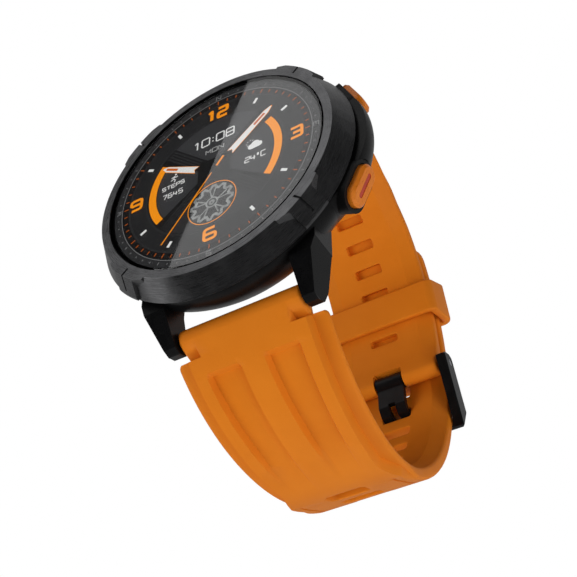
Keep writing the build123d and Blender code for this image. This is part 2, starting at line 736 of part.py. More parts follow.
def plain_pin(side, with_tip):
    """Pin at the 9 o'clock end of the bar."""
    body = rod_x(side * BAR_Y, BAR_Z, bar_shank_r(), -BAR_HALF, -BAR_HALF + SHANK_L)
    if with_tip:
        body += rod_x(side * BAR_Y, BAR_Z, TIP_R, -LUG_GAP / 2 - TIP_IN, -BAR_HALF)
    return body


def lever_pin(side, with_tip):
    """Pin at the 3 o'clock end, with the lever that draws it in."""
    body = rod_x(side * BAR_Y, BAR_Z, bar_shank_r(), LEVER_X - 1, BAR_HALF)
    if with_tip:
        body += rod_x(side * BAR_Y, BAR_Z, TIP_R, BAR_HALF - 0.1, LUG_GAP / 2 + TIP_IN)
    post = Pos(0, 0, -LEVER_REACH / 2) * Cylinder(LEVER_R, LEVER_REACH)
    knob = Pos(0, 0, -LEVER_REACH) * Sphere(LEVER_R + 0.2)
    return body + Pos(LEVER_X, side * BAR_Y, BAR_Z) * (Rot(-side * LEVER_TILT, 0, 0) * (post + knob))


def bar_spring(side):
    x0, x1 = -BAR_HALF + SHANK_L + 0.1, LEVER_X - 1.1
    plane = Plane(origin=(x0, side * BAR_Y, BAR_Z), x_dir=(0, 1, 0), z_dir=(1, 0, 0))
    return coil(plane, bar_shank_r() - 0.12, 0.08, x1 - x0, 9)


def lug_tips():
    """The two pin ends that stay in the 12 o'clock lugs."""
    x0, x1 = LUG_GAP / 2 - 0.25, LUG_GAP / 2 + TIP_IN
    tips = [rod_x(BAR_Y, BAR_Z, TIP_R, *sorted((s * x0, s * x1))) for s in (-1, 1)]
    return Compound(children=[t.solid() for t in tips])


# ---------------------------------------------------------------- strap
LONG_SLOTS_FROM = loop_walk(low_angle(TONGUE_SLOT_Y), -SLOTS_BEFORE_TONGUE * SLOT_PITCH)
LONG_SLOTS = slot_angles(LONG_SLOTS_FROM, LONG_SLOT_COUNT, SLOT_PITCH)
POCKETS = slot_angles(low_angle(POCKET_Y), POCKET_COUNT, POCKET_PITCH)


def strap_long():
    """6 o'clock half: its tail passes through the buckle and lies outside."""
    base = band(BAND_START, TAIL_END, tail_inner, flange_outer, 20) & width_outline(0)
    pad = band(BAND_START, PAD_END, lambda a: 1.0, pad_outer, 20) & width_outline(PAD_INSET)
    body = base + pad + strap_end(-1) - strap_end_cuts(-1)
    for angle in LONG_SLOTS:
        body -= slot_cutter(angle)
    return body


def strap_short():
    """12 o'clock half: its end is folded round the buckle's pin."""
    start = low_angle(PIN_Y)
    mirrored = [180.0 - BAND_START, 360.0 + 180.0 - BAND_START]
    base = band(start, mirrored[1], short_inner, short_outer, 20) & width_outline(0)
    pad = band(BAND_START, PAD_END, lambda a: 1.0, pad_outer, 20, flip=True)
    body = base + (pad & width_outline(PAD_INSET)) + strap_end(1)
    body += rod_x(PIN_Y, PIN_Z, ROLL_R, -STRAP_HALF_LOW, STRAP_HALF_LOW)
    body -= strap_end_cuts(1)
    body -= rod_x(PIN_Y, PIN_Z, PIN_R, -20, 20)
    notch = TONGUE_HALF + SOFT_GAP
    reach = TONGUE_HUB_R + SOFT_GAP
    body -= block((-notch, notch), (PIN_Y - 5, PIN_Y + reach), (PIN_Z - 5, PIN_Z + 5))
    for angle in POCKETS:
        body -= pocket_cutter(angle)
    return body


def keeper():
    """Loop that holds the tail against the other half."""
    a0, a1 = low_angle(KEEPER_Y0), low_angle(KEEPER_Y1)
    gap = SOFT_GAP + 0.05

    def layer(grow):
        """Both strap ends where the keeper is, grown by a distance on every side."""
        def inner(angle):
            return short_inner(angle) - grow

        def outer(angle):
            return flange_outer(angle) + grow

        return inner, outer

    half = STRAP_HALF_LOW + gap
    shell = band(a0, a1, *layer(gap + KEEPER_WALL), half + KEEPER_SIDE, steps=8)
    return shell - band(a0 - 1, a1 + 1, *layer(gap), half, steps=8)


# ---------------------------------------------------------------- buckle
def buckle_pin():
    return rod_x(PIN_Y, PIN_Z, PIN_R, -FRAME_OUT_X + 0.1, FRAME_OUT_X - 0.1)


def buckle_frame():
    """Two side arms and a round crossbar that the tongue rests on."""
    arm = [(PIN_Y + 1.8, PIN_Z + 0.6), (PIN_Y + 1.3, PIN_Z + 2.1), (PIN_Y + 0.5, PIN_Z + 2.9),
           (CROSSBAR_Y - 2.8, CROSSBAR_Z + 2.6), (CROSSBAR_Y - 2.8, CROSSBAR_Z + 2.0),
           (CROSSBAR_Y + 1.2, CROSSBAR_Z + 0.1), (PIN_Y + 0.8, PIN_Z - 1.1),
           (PIN_Y + 1.5, PIN_Z - 0.6)]
    sides = side_profile(Polyline(*arm, close=True), FRAME_OUT_X)
    sides = chamfer(sides.faces().filter_by(Axis.X).edges(), FRAME_CHAMFER)
    body = sides - block((-FRAME_IN_X, FRAME_IN_X), (-40, 40), (-80, 0))
    body += rod_x(CROSSBAR_Y, CROSSBAR_Z, CROSSBAR_R, -FRAME_IN_X - 0.5, FRAME_IN_X + 0.5)
    return body - rod_x(PIN_Y, PIN_Z, PIN_R + RUN_GAP, -20, 20)


def buckle_tongue():
    """Tongue: turns on the pin, drops through a slot and hooks over the crossbar."""
    under = CROSSBAR_Z - CROSSBAR_R - 0.2 - TONGUE_T / 2
    path = [(PIN_Y, PIN_Z), (TONGUE_SLOT_Y + 1.4, PIN_Z), (TONGUE_SLOT_Y + 0.15, PIN_Z - 0.9),
            (TONGUE_SLOT_Y - 0.8, under + 0.6), (TONGUE_SLOT_Y - 1.5, under),
            (CROSSBAR_Y - 0.6, under)]
    body = rod_x(PIN_Y, PIN_Z, TONGUE_HUB_R, -TONGUE_HALF, TONGUE_HALF)
    for (y0, z0), (y1, z1) in zip(path, path[1:]):
        length = hypot(y1 - y0, z1 - z0)
        bar = Box(2 * TONGUE_HALF, length, TONGUE_T)
        tilt = degrees(atan2(z1 - z0, y1 - y0))
        body += Pos(0, (y0 + y1) / 2, (z0 + z1) / 2) * (Rot(tilt, 0, 0) * bar)
        body += rod_x(y1, z1, TONGUE_T / 2, -TONGUE_HALF, TONGUE_HALF)
    fork = block((-PRONG_HALF_GAP, PRONG_HALF_GAP), (CROSSBAR_Y - 3, PRONG_FROM_Y),
                 (CROSSBAR_Z - 4, PIN_Z + 1))
    return body - fork - rod_x(PIN_Y, PIN_Z, PIN_R + RUN_GAP, -20, 20)


# ---------------------------------------------------------------- every node
nodes = {
    "case_body": case_body(),
    "case_back": case_back(),
    "case_screws": case_screws(),
    "back_gasket": back_gasket(),
    "charging_contacts": charging_contacts(),
    "sensor_window": sensor_window(),
    "sensor_board": sensor_board(),
    "sensor_leds": sensor_leds(),
    "sensor_ribbon": sensor_ribbon(),
    "bezel": bezel(),
    "bezel_seal": bezel_seal(),
    "glass": glass(),
    "glass_gasket": glass_gasket(),
    "display_panel": display_panel(),
    "display_frame": display_frame(),
    "display_ribbon": display_ribbon(),
    "carrier": carrier(),
    "battery": battery(),
    "main_board": main_board(),
    "board_chips": board_chips(),
    "gps_antenna": antenna(),
    "speaker": speaker(),
    "microphone": microphone(),
    "vibration_motor": motor_body(),
    "vibration_weight": motor_rotor(),
    "lug_tips_12": lug_tips(),
    "strap_long": strap_long(),
    "strap_short": strap_short(),
    "keeper": keeper(),
    "buckle_pin": buckle_pin(),
    "buckle_frame": buckle_frame(),
    "buckle_tongue": buckle_tongue(),
}
for name, angle in SIDES.items():
    nodes[f"button_cap_{name}"] = button_cap(angle)
    nodes[f"button_stripe_{name}"] = button_stripe(angle)
    nodes[f"button_sleeve_{name}"] = button_sleeve(angle)
    nodes[f"button_spring_{name}"] = button_spring(angle)
    nodes[f"button_seal_{name}"] = button_seal(angle)
    nodes[f"button_clip_{name}"] = button_clip(angle)
    nodes[f"tact_switch_{name}"] = tact_switch(angle)
for hour, side in ((6, -1), (12, 1)):
    nodes[f"bar_tube_{hour}"] = bar_tube(side)
    nodes[f"bar_pin_{hour}"] = plain_pin(side, with_tip=hour == 6)
    nodes[f"release_lever_{hour}"] = lever_pin(side, with_tip=hour == 6)
    nodes[f"bar_spring_{hour}"] = bar_spring(side)

os.makedirs("parts", exist_ok=True)
for name, shape in nodes.items():
    export_step(shape, f"parts/{name}.step")
print(len(nodes), "nodes")
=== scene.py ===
import bpy
import bmesh
import json
import numpy as np
from math import atan2, cos, degrees, hypot, pi, radians, sin, sqrt
from mathutils import Matrix, Vector


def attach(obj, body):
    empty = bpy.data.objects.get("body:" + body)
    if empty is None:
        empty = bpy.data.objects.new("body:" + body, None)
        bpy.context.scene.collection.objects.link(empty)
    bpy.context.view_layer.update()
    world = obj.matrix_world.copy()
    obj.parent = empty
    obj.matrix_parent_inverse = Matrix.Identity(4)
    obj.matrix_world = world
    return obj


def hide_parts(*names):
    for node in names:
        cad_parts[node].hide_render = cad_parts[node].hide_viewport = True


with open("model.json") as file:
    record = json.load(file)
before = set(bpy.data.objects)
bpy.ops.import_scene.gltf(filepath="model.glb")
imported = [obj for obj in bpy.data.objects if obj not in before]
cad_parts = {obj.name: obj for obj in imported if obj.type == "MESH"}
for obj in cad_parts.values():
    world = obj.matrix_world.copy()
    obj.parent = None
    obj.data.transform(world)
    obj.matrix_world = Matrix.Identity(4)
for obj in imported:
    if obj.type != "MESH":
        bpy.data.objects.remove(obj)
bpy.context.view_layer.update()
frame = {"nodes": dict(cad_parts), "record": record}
nodes = frame["nodes"]

# Sizes below are in millimetres, as in the part's own source; MM turns them into metres.
# The camera, the lights and the floor are in metres.
MM = 0.001


def new_object(name, data):
    """Object that is linked into the scene."""
    thing = bpy.data.objects.new(name, data)
    bpy.context.scene.collection.objects.link(thing)
    return thing


# -------- shader nodes
def fill(tree, node, **inputs):
    """Sets a node's inputs by name: each is a number, a colour or a socket to link."""
    for name, value in inputs.items():
        socket = node.inputs[name.replace("_", " ")]
        if isinstance(value, bpy.types.NodeSocket):
            tree.links.new(value, socket)
        else:
            socket.default_value = value
    return node


def add(tree, kind, **inputs):
    """New shader node with the given inputs."""
    return fill(tree, tree.nodes.new("ShaderNode" + kind), **inputs)


def calculate(tree, operation, *sockets):
    """Result of a math node on linked sockets."""
    node = tree.nodes.new("ShaderNodeMath")
    node.operation = operation
    for place, socket in zip(node.inputs, sockets):
        tree.links.new(socket, place)
    return node.outputs[0]


def map_range(tree, value, from_low, from_high, low, high):
    """Maps from_low..from_high onto low..high, and holds it there."""
    return add(tree, "MapRange", Value=value, From_Min=from_low, From_Max=from_high, To_Min=low,
               To_Max=high).outputs[0]


def spread(tree, noise, low, high):
    """Maps a noise, which stays near its middle, onto low..high."""
    return map_range(tree, noise, 0.3, 0.7, low, high)


def two_tones(tree, share, dark, light):
    """Colour that goes from dark to light with a share."""
    ramp_node = add(tree, "ValToRGB", Fac=share)
    ramp_node.color_ramp.elements[0].color = (*dark, 1)
    ramp_node.color_ramp.elements[1].color = (*light, 1)
    return ramp_node.outputs[0]


ARC_PER_RADIAN = 0.0006      # metres of pattern, so that the grain is long and thin


def round_the_axis(tree, place):
    """Coordinates that run along circles round Z, for a turned or brushed ring."""
    x, y, z = add(tree, "SeparateXYZ", Vector=place).outputs
    squares = [calculate(tree, "MULTIPLY", part, part) for part in (x, y)]
    radius = calculate(tree, "SQRT", calculate(tree, "ADD", *squares))
    angle = calculate(tree, "ARCTAN2", y, x)
    arc = map_range(tree, angle, -pi, pi, -pi * ARC_PER_RADIAN, pi * ARC_PER_RADIAN)
    return add(tree, "CombineXYZ", X=radius, Y=arc, Z=z).outputs[0]


# -------- camera and stage
CAMERA_AT = (0.069886, -0.136604, 0.107764)
CAMERA_LOOKS_AT = (-0.003727, 0.0, -0.017436)
CAMERA_ROLL = 40.736
CAMERA_LENS = 70.722


def make_camera():
    data = bpy.data.cameras.new("camera")
    data.lens = CAMERA_LENS
    data.sensor_width = 36.0
    data.clip_start = 0.01
    data.clip_end = 20.0
    camera = new_object("camera", data)
    ahead = (Vector(CAMERA_LOOKS_AT) - Vector(CAMERA_AT)).normalized()
    level = ahead.cross(Vector((0, 0, 1))).normalized()
    above = level.cross(ahead)
    roll = radians(CAMERA_ROLL)
    up = above * cos(roll) + level * sin(roll)
    right = ahead.cross(up)
    turn = Matrix((right, up, -ahead)).transposed().to_4x4()
    camera.matrix_world = Matrix.Translation(CAMERA_AT) @ turn
    bpy.context.scene.camera = camera


def softbox(name, size, radiance):
    """Rectangular light of an even brightness, the same whatever its size."""
    data = bpy.data.lights.new(name, "AREA")
    data.shape = "RECTANGLE"
    data.size, data.size_y = size
    data.energy = radiance * size[0] * size[1] * pi
    light = new_object(name, data)
    light.visible_camera = False
    return light


def area_light(name, at, towards, size, radiance, glossy=True):
    light = softbox(name, size, radiance)
    look = (Vector(towards) - Vector(at)).to_track_quat("-Z", "Y").to_matrix().to_4x4()
    light.matrix_world = Matrix.Translation(at) @ look
    light.visible_glossy = glossy


def edge_softbox():
    """The big softbox over the 12 o'clock side. Its straight edge shows in the glass."""
    edge_middle = Vector((-0.313, 0.600, 0.434))
    along = Vector((-0.627, -0.716, 0.305)).normalized()
    glass = Vector((0, 0, 0.0126))
    back = (edge_middle - glass).normalized()
    outwards = back.cross(along).normalized()
    size = (0.75, 1.3)
    light = softbox("edge_softbox", size, 0.72)
    side = along.cross(back).normalized()
    turn = Matrix((side, along, side.cross(along))).transposed().to_4x4()
    light.matrix_world = Matrix.Translation(edge_middle + outwards * size[0] / 2) @ turn


def white_to_camera(tree, lit):
    """Strength 1 to the camera, and a lower one in what lights the watch and mirrors in it."""
    path = tree.nodes.new("ShaderNodeLightPath")
    return map_range(tree, path.outputs["Is Camera Ray"], 0.0, 1.0, lit, 1.0)


def make_stage():
    """Pale floor well below the watch, as in a product picture, and even studio light."""
    half, drop = 4.0, -0.30
    mesh = bpy.data.meshes.new("floor")
    corners = [(x * half, y * half, drop) for x, y in ((-1, -1), (1, -1), (1, 1), (-1, 1))]
    mesh.from_pydata(corners, [], [(0, 1, 2, 3)])
    floor = new_object("floor", mesh)
    material = bpy.data.materials.new("floor_white")
    material.use_nodes = True
    tree = material.node_tree
    tree.nodes.clear()
    glow = add(tree, "Emission", Strength=white_to_camera(tree, 0.38))
    add(tree, "OutputMaterial", Surface=glow.outputs[0])
    mesh.materials.append(material)

    world = bpy.data.worlds.new("studio")
    bpy.context.scene.world = world
    world.use_nodes = True
    tree = world.node_tree
    fill(tree, tree.nodes["Background"], Strength=white_to_camera(tree, 0.10))

    edge_softbox()
    area_light("key", (-0.6, -0.45, 0.50), (0, 0, -0.02), (0.5, 0.5), 4.3, glossy=False)
    area_light("front_fill", (0.40, -0.80, 0.15), (0, 0, -0.03), (0.8, 0.8), 1.2, glossy=False)
    area_light("low_fill", (0.10, -0.60, -0.28), (0, 0, -0.04), (0.7, 0.4), 1.6, glossy=False)
    area_light("left_strip", (-0.75, -0.25, 0.10), (0, 0, 0), (0.25, 0.8), 1.6)
    area_light("right_fill", (0.75, -0.25, 0.28), (0, 0, -0.03), (0.6, 0.6), 2.2, glossy=False)
    bpy.context.scene.view_settings.view_transform = "Standard"


# -------- materials
def new_material(name):
    """A material with its node tree, its shader and the object's own coordinates."""
    material = bpy.data.materials.new(name)
    material.use_nodes = True
    tree = material.node_tree
    place = tree.nodes.new("ShaderNodeTexCoord").outputs["Object"]
    return material, tree, tree.nodes["Principled BSDF"], place


def painted_sheen_above(tree, colour, place, height, times):
    """The colour, made some times lighter above a height in metres: a painted sheen on a top face.
    """
    z = add(tree, "SeparateXYZ", Vector=place).outputs[2]
    scaled = tree.nodes.new("ShaderNodeVectorMath")
    scaled.operation = "SCALE"
    tree.links.new(colour, scaled.inputs[0])
    gain = map_range(tree, z, height, height + 0.02 * MM, 1.0, times)
    return fill(tree, scaled, Scale=gain).outputs[0]


def surface(name, dark, light, rough, grain, bump, mottle=350.0, metallic=0.0, specular=0.5,
            coat=0.0, brushed=False, stretch=None, bump_size=0.05, top=None):
    """Opaque material: mottled colour, uneven gloss and a fine relief.
    grain and mottle are noise scales per metre, rough is (smoothest, roughest), and
    bump_size is in millimetres. top is a height and how many times lighter the colour is painted
    above it: a painted sheen on a top face."""
    material, tree, shader, place = new_material(name)
    fine_place = place
    if brushed:
        fine_place = round_the_axis(tree, place)
    if stretch:
        fine_place = add(tree, "Mapping", Vector=place, Scale=stretch).outputs[0]
    broad = add(tree, "TexNoise", Vector=place, Scale=mottle, Detail=4.0).outputs[0]
    fine = add(tree, "TexNoise", Vector=fine_place, Scale=grain, Detail=3.0).outputs[0]
    share = calculate(tree, "ADD", spread(tree, broad, 0.0, 0.6), spread(tree, fine, 0.0, 0.4))
    colour = two_tones(tree, share, dark, light)
    # Painted sheen: the colour is made lighter above the height given in top.
    if top:
        colour = painted_sheen_above(tree, colour, place, *top)
    relief = add(tree, "Bump", Height=fine, Strength=bump, Distance=bump_size * MM)
    fill(tree, shader, Base_Color=colour, Roughness=spread(tree, fine, *rough),
         Normal=relief.outputs[0], Metallic=metallic, Specular_IOR_Level=specular,
         Coat_Weight=coat, Coat_Roughness=0.1)
    return material


def clear(name, tint, rough, smoke=0.0):
    """Polished glass with faint smears in its gloss."""
    material, tree, shader, place = new_material(name)
    smear = add(tree, "TexNoise", Vector=place, Scale=120.0, Detail=5.0).outputs[0]
    fill(tree, shader, Roughness=spread(tree, smear, *rough), Base_Color=(*tint, 1), IOR=1.5,
         Transmission_Weight=1.0 - smoke)
    return material


def screen(name, colour, uneven=0.12, cell=7000.0):
    """Lit screen colour, faintly uneven, over the black of the panel."""
    material, tree, shader, place = new_material(name)
    noise = add(tree, "TexNoise", Vector=place, Scale=cell, Detail=2.0).outputs[0]
    dimmer = [c * (1 - uneven) for c in colour]
    glow = two_tones(tree, spread(tree, noise, 0.0, 1.0), dimmer, colour)
    fill(tree, shader, Emission_Color=glow, Emission_Strength=1.0, Base_Color=(0.01, 0.01, 0.01, 1),
         Roughness=0.4, Specular_IOR_Level=0.1)
    return material


def make_materials():
    """The watch's materials by name: dark and light tone, roughness, grain and relief."""
    made = (
        surface("case_polymer", (0.0025, 0.0025, 0.0027), (0.0055, 0.0055, 0.0058),
                (0.26, 0.40), 5200.0, 0.25, specular=0.2),
        # The bezel's top face is painted 2.4 times lighter above 12.55 mm: a painted sheen where
        # the big softbox mirrors in it.
        surface("bezel_metal", (0.055, 0.055, 0.057), (0.115, 0.115, 0.118),
                (0.22, 0.42), 16000.0, 0.35, metallic=0.85, brushed=True,
                bump_size=0.02, top=(12.55 * MM, 2.4)),
        clear("cover_glass", (0.98, 0.985, 0.99), (0.0, 0.03)),
        surface("display", (0.004, 0.004, 0.004), (0.006, 0.006, 0.006),
                (0.1, 0.2), 3000.0, 0.05, specular=0.3),
        clear("sensor_glass", (0.12, 0.12, 0.13), (0.0, 0.05), smoke=0.5),
        surface("seal_rubber", (0.005, 0.005, 0.005), (0.012, 0.012, 0.012),
                (0.6, 0.8), 4000.0, 0.3, specular=0.2),
        surface("strap_silicone", (0.735, 0.195, 0.010), (0.80, 0.228, 0.014),
                (0.50, 0.62), 6500.0, 0.18, mottle=160.0, specular=0.16),
        surface("buckle_metal", (0.008, 0.008, 0.0085), (0.02, 0.02, 0.021),
                (0.28, 0.42), 7000.0, 0.2, metallic=0.6, specular=0.4),
        surface("button_orange", (0.76, 0.19, 0.012), (0.88, 0.25, 0.018),
                (0.25, 0.38), 6000.0, 0.15, metallic=0.2, stretch=(0.15, 0.15, 1.6)),
        surface("button_red", (0.42, 0.03, 0.006), (0.55, 0.045, 0.01),
                (0.2, 0.3), 5000.0, 0.1, coat=0.4),
        surface("button_guard", (0.004, 0.004, 0.004), (0.01, 0.01, 0.01),
                (0.4, 0.55), 5000.0, 0.3, specular=0.25),
        surface("steel", (0.42, 0.42, 0.44), (0.62, 0.62, 0.64),
                (0.2, 0.36), 9000.0, 0.2, metallic=1.0, stretch=(0.1, 1.0, 1.0)),
        surface("brass", (0.62, 0.42, 0.14), (0.85, 0.62, 0.26),
                (0.18, 0.32), 6000.0, 0.15, metallic=1.0),
        surface("board", (0.006, 0.05, 0.02), (0.012, 0.09, 0.035),
                (0.3, 0.45), 2500.0, 0.3, coat=0.3),
        surface("chip", (0.008, 0.008, 0.008), (0.02, 0.02, 0.021),
                (0.45, 0.6), 5000.0, 0.35),
        surface("frame_plastic", (0.05, 0.05, 0.052), (0.085, 0.085, 0.09),
                (0.45, 0.6), 4500.0, 0.3),
        surface("battery_foil", (0.55, 0.55, 0.57), (0.72, 0.72, 0.74),
                (0.25, 0.45), 1800.0, 0.5, metallic=0.9),
        surface("ribbon", (0.40, 0.16, 0.03), (0.55, 0.25, 0.05),
                (0.3, 0.45), 3500.0, 0.15, coat=0.2),
        surface("led", (0.45, 0.5, 0.3), (0.75, 0.8, 0.6),
                (0.1, 0.25), 3000.0, 0.1, coat=0.5),
    )
    # The part's own materials may have taken a name, and then a dot and a number follow it.
    return {material.name.split(".")[0]: material for material in made}


def paint(thing, material):
    """Gives an object one material on its own slots, and leaves its mesh alone."""
    if not thing.material_slots:
        thing.data.materials.append(material)
    for place in thing.material_slots:
        place.link = "OBJECT"
        place.material = material


# -------- building meshes
def shade_smooth(mesh, sharp_angle):
    """Smooth shading, but for edges sharper than an angle in degrees."""
    mesh.polygons.foreach_set("use_smooth", [True] * len(mesh.polygons))
    mesh.set_sharp_from_angle(angle=radians(sharp_angle))


def make_piece(name, bm, material, body, smooth_angle=None):
    """Turns a bmesh in millimetres into a piece that rides on a body."""
    bmesh.ops.recalc_face_normals(bm, faces=bm.faces)
    mesh = bpy.data.meshes.new(name)
    bm.to_mesh(mesh)
    bm.free()
    mesh.transform(Matrix.Scale(MM, 4))
    if smooth_angle is not None:
        shade_smooth(mesh, smooth_angle)
    piece = new_object(name, mesh)
    mesh.materials.append(material)
    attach(piece, body)
    return piece


def join_rings(bm, rings, closed=True):
    """Faces from each ring of vertices to the next, and if closed from the last to the first."""
    pairs = list(zip(rings, rings[1:])) + ([(rings[-1], rings[0])] if closed else [])
    for a, b in pairs:
        for i in range(len(a)):
            j = (i + 1) % len(a)
            bm.faces.new((a[i], a[j], b[j], b[i]))


# -------- strap, as in the part
SOFT_GAP = 0.30
BAR_Y, BAR_Z = 24.2, 2.2
BARREL_R = 1.9
LUG_GAP = 22.0
LEVER_X, LEVER_R, LEVER_REACH, LEVER_TILT, LEVER_TRAVEL = 8.0, 0.45, 1.6, 40.0, 1.5
LOOP_A, LOOP_B, LOOP_Z = 34.5, 30.3, -21.75
FLANGE_T, PAD_T, STRAP_T, OVERLAP_GAP = 2.1, 3.8, 3.0, 0.2
STRAP_HALF_TOP, STRAP_HALF_LOW = 13.2, 10.3
SHOULDER_Z, TAPER_END_Z = -0.5, -35.75
SHOULDER_AT, SHOULDER_ROUND = 136.8, 0.9
PAD_INSET = 2.4
SLOT_PITCH, LONG_SLOT_COUNT, SLOTS_BEFORE_TONGUE = 5.2, 12, 7
POCKET_PITCH, POCKET_COUNT, POCKET_Y, POCKET_DEPTH = 5.4, 7, 9.6, 1.4
PIN_Y, PIN_Z, ROLL_R = -0.6, -49.946, 1.75
TONGUE_SLOT_Y, TONGUE_HALF, TONGUE_HUB_R = -7.4, 2.7, 1.6
KEEPER_Y0, KEEPER_Y1, KEEPER_WALL, KEEPER_SIDE = 12.0, 18.8, 1.5, 1.6
BAND_START, PAD_END = 132.0, 203.0
STRAP_END_HALF = LUG_GAP / 2 - SOFT_GAP
DEPTH = STRAP_T + OVERLAP_GAP


def loop_point(angle, out=0.0):
    """(y, z) on the wrist ellipse at an angle from +Y, moved outwards."""
    a = radians(angle)
    ny, nz = cos(a) / LOOP_A, sin(a) / LOOP_B
    n = hypot(ny, nz)
    return LOOP_A * cos(a) + out * ny / n, LOOP_Z + LOOP_B * sin(a) + out * nz / n


LOOP_ANGLES = np.linspace(0.0, 450.0, 3601)
LOOP_TURNS = np.radians(LOOP_ANGLES)
LOOP_SPEED = np.hypot(LOOP_A * np.sin(LOOP_TURNS), LOOP_B * np.cos(LOOP_TURNS))
LOOP_STEPS = (LOOP_SPEED[1:] + LOOP_SPEED[:-1]) / 2 * np.diff(LOOP_TURNS)
LOOP_LENGTHS = np.concatenate(([0.0], np.cumsum(LOOP_STEPS)))


def length_at(angle):
    return float(np.interp(angle, LOOP_ANGLES, LOOP_LENGTHS))


def angle_at(length):
    return float(np.interp(length, LOOP_LENGTHS, LOOP_ANGLES))


def low_angle(y):
    """Angle of the lower half of the ellipse at a given y."""
    return 360.0 - degrees(atan2(sqrt(1 - (y / LOOP_A) ** 2), y / LOOP_A))


LIFT_FROM, LIFT_TO = low_angle(6.0), low_angle(28.0)
TAIL_END = low_angle(25.35)


def held(share):
    """The share, held between 0 and 1."""
    return min(1.0, max(0.0, share))


def lift(angle):
    """How far the long half lies outside the short one; the short half lies that far in."""
    return DEPTH * held((angle - LIFT_FROM) / (LIFT_TO - LIFT_FROM))


def ramp(at, a0, a1, v0, v1):
    """Value that goes smoothly from v0 at a0 to v1 at a1."""
    share = held((at - a0) / (a1 - a0))
    return v0 + (v1 - v0) * (1 - cos(pi * share)) / 2


def eased(share):
    """The share with a gentle start and end."""
    return share * share * (3 - 2 * share)


def plain_half(angle):
    """Half width of the base layer, with square shoulders below the lugs."""
    if angle < SHOULDER_AT:
        return STRAP_END_HALF
    share = min(1.0, (SHOULDER_Z - loop_point(angle)[1]) / (SHOULDER_Z - TAPER_END_Z))
    return STRAP_HALF_TOP + (STRAP_HALF_LOW - STRAP_HALF_TOP) * share


def rounded_off(distance, radius):
    """How far a corner of this radius lies back, at a distance past its start."""
    if distance >= radius:
        return 0.0
    return radius - sqrt(max(0.0, radius ** 2 - (radius - distance) ** 2))


def band_half(angle):
    """Half width of the base layer, with the shoulders' corners rounded."""
    if angle < SHOULDER_AT:
        return STRAP_END_HALF
    past = length_at(angle) - length_at(SHOULDER_AT)
    return plain_half(angle) - rounded_off(past, SHOULDER_ROUND)


# The strap's two faces. The ranges are angles round the loop, in degrees.
CHANNEL_IN, CHANNEL_DEEP, CHANNEL_INSET = 2.25, 1.15, 2.75
CHANNEL_STARTS, CHANNEL_FADES = (141.1, 142.5), (160.0, 187.0)
CREASE_MOVES_OUT = (188.0, 193.0)
EDGE_LINE_X, EDGE_LINE_DEEP = 8.3, 1.0
EDGE_LINE_STARTS, EDGE_LINE_FADES = (191.5, 193.5), (262.0, 275.0)
PAD_START_T, PAD_SWELLS, PAD_SINKS = 3.6, (BAND_START, 146.0), (186.0, PAD_END)
PAD_OUT_FROM, PAD_OUT_TO = 183.0, 195.0
PAD_SIDE, PAD_SIDE_BULGE = 0.5, 1.8
FLANGE_RISES = (194.0, PAD_END)
CROWN_DROP = 0.25
WALL = 0.26              # half width of a channel's or a line's sloping side
EDGE_ROUND = 0.62
INNER_MARGIN, INNER_SLOPE = 3.0, 0.9
TAIL_THINS_OVER, TAIL_THINNER = 5.0, 0.5

# A hole's half length across the strap, half width along it and cut-off corner:
# at the outer face, then at the inner face.
THROUGH = ((3.5, 1.5, 0.45), (2.9, 1.15, 0.3))
BLIND = ((2.85, 0.9, 0.25), (2.85, 0.9, 0.25))
HOLE_COLUMN = 6          # the hole's end among the places across one half
HOLE_RIM = 0.45          # from the hole's end to the next place
INSIDE_HOLE = (0.0, 0.8, 1.3, 1.7, 2.1)


def pad_half(angle):
    """Half width of the raised pad. Near its lower end it spreads to the strap's edge."""
    narrow = min(STRAP_END_HALF, plain_half(angle) - PAD_INSET)
    share = held((angle - PAD_OUT_FROM) / (PAD_OUT_TO - PAD_OUT_FROM))
    return narrow + (plain_half(angle) - narrow) * share


def outer_breaks(angle, hole=THROUGH):
    """Places across one half of the strap where the outer face changes: the channel's inner
    side, the hole, the crease, the pad's side and the strap's edge."""
    pad = pad_half(angle)
    slot, _, corner = hole[0]
    edge = band_half(angle) - EDGE_ROUND
    wall_foot = min(pad, edge - 0.05)
    wall_top = wall_foot - PAD_SIDE
    crease = min(ramp(angle, *CREASE_MOVES_OUT, pad - CHANNEL_INSET, EDGE_LINE_X),
                 wall_top - WALL - 0.25)
    return [0.0, 1.0, CHANNEL_IN - WALL, CHANNEL_IN, CHANNEL_IN + WALL, slot - corner, slot,
            slot + HOLE_RIM, crease - WALL, crease, crease + WALL, wall_top, wall_foot - 0.22,
            wall_foot, edge]


def inner_breaks(angle, hole=THROUGH):
    """As many places across one half of the inner face: the hole, the flat and the margin."""
    slot, _, corner = hole[1]
    edge = band_half(angle) - EDGE_ROUND
    margin = band_half(angle) - INNER_MARGIN
    return [*INSIDE_HOLE, slot - corner, slot, slot + HOLE_RIM, (slot + 0.3 + margin) / 2,
            margin - 0.15, margin, margin + 0.15, (margin + edge) / 2, edge - 0.25, edge]


def tent(x, middle, half):
    """1 at the middle and 0 from half of the width on."""
    return max(0.0, 1 - abs(x - middle) / half)


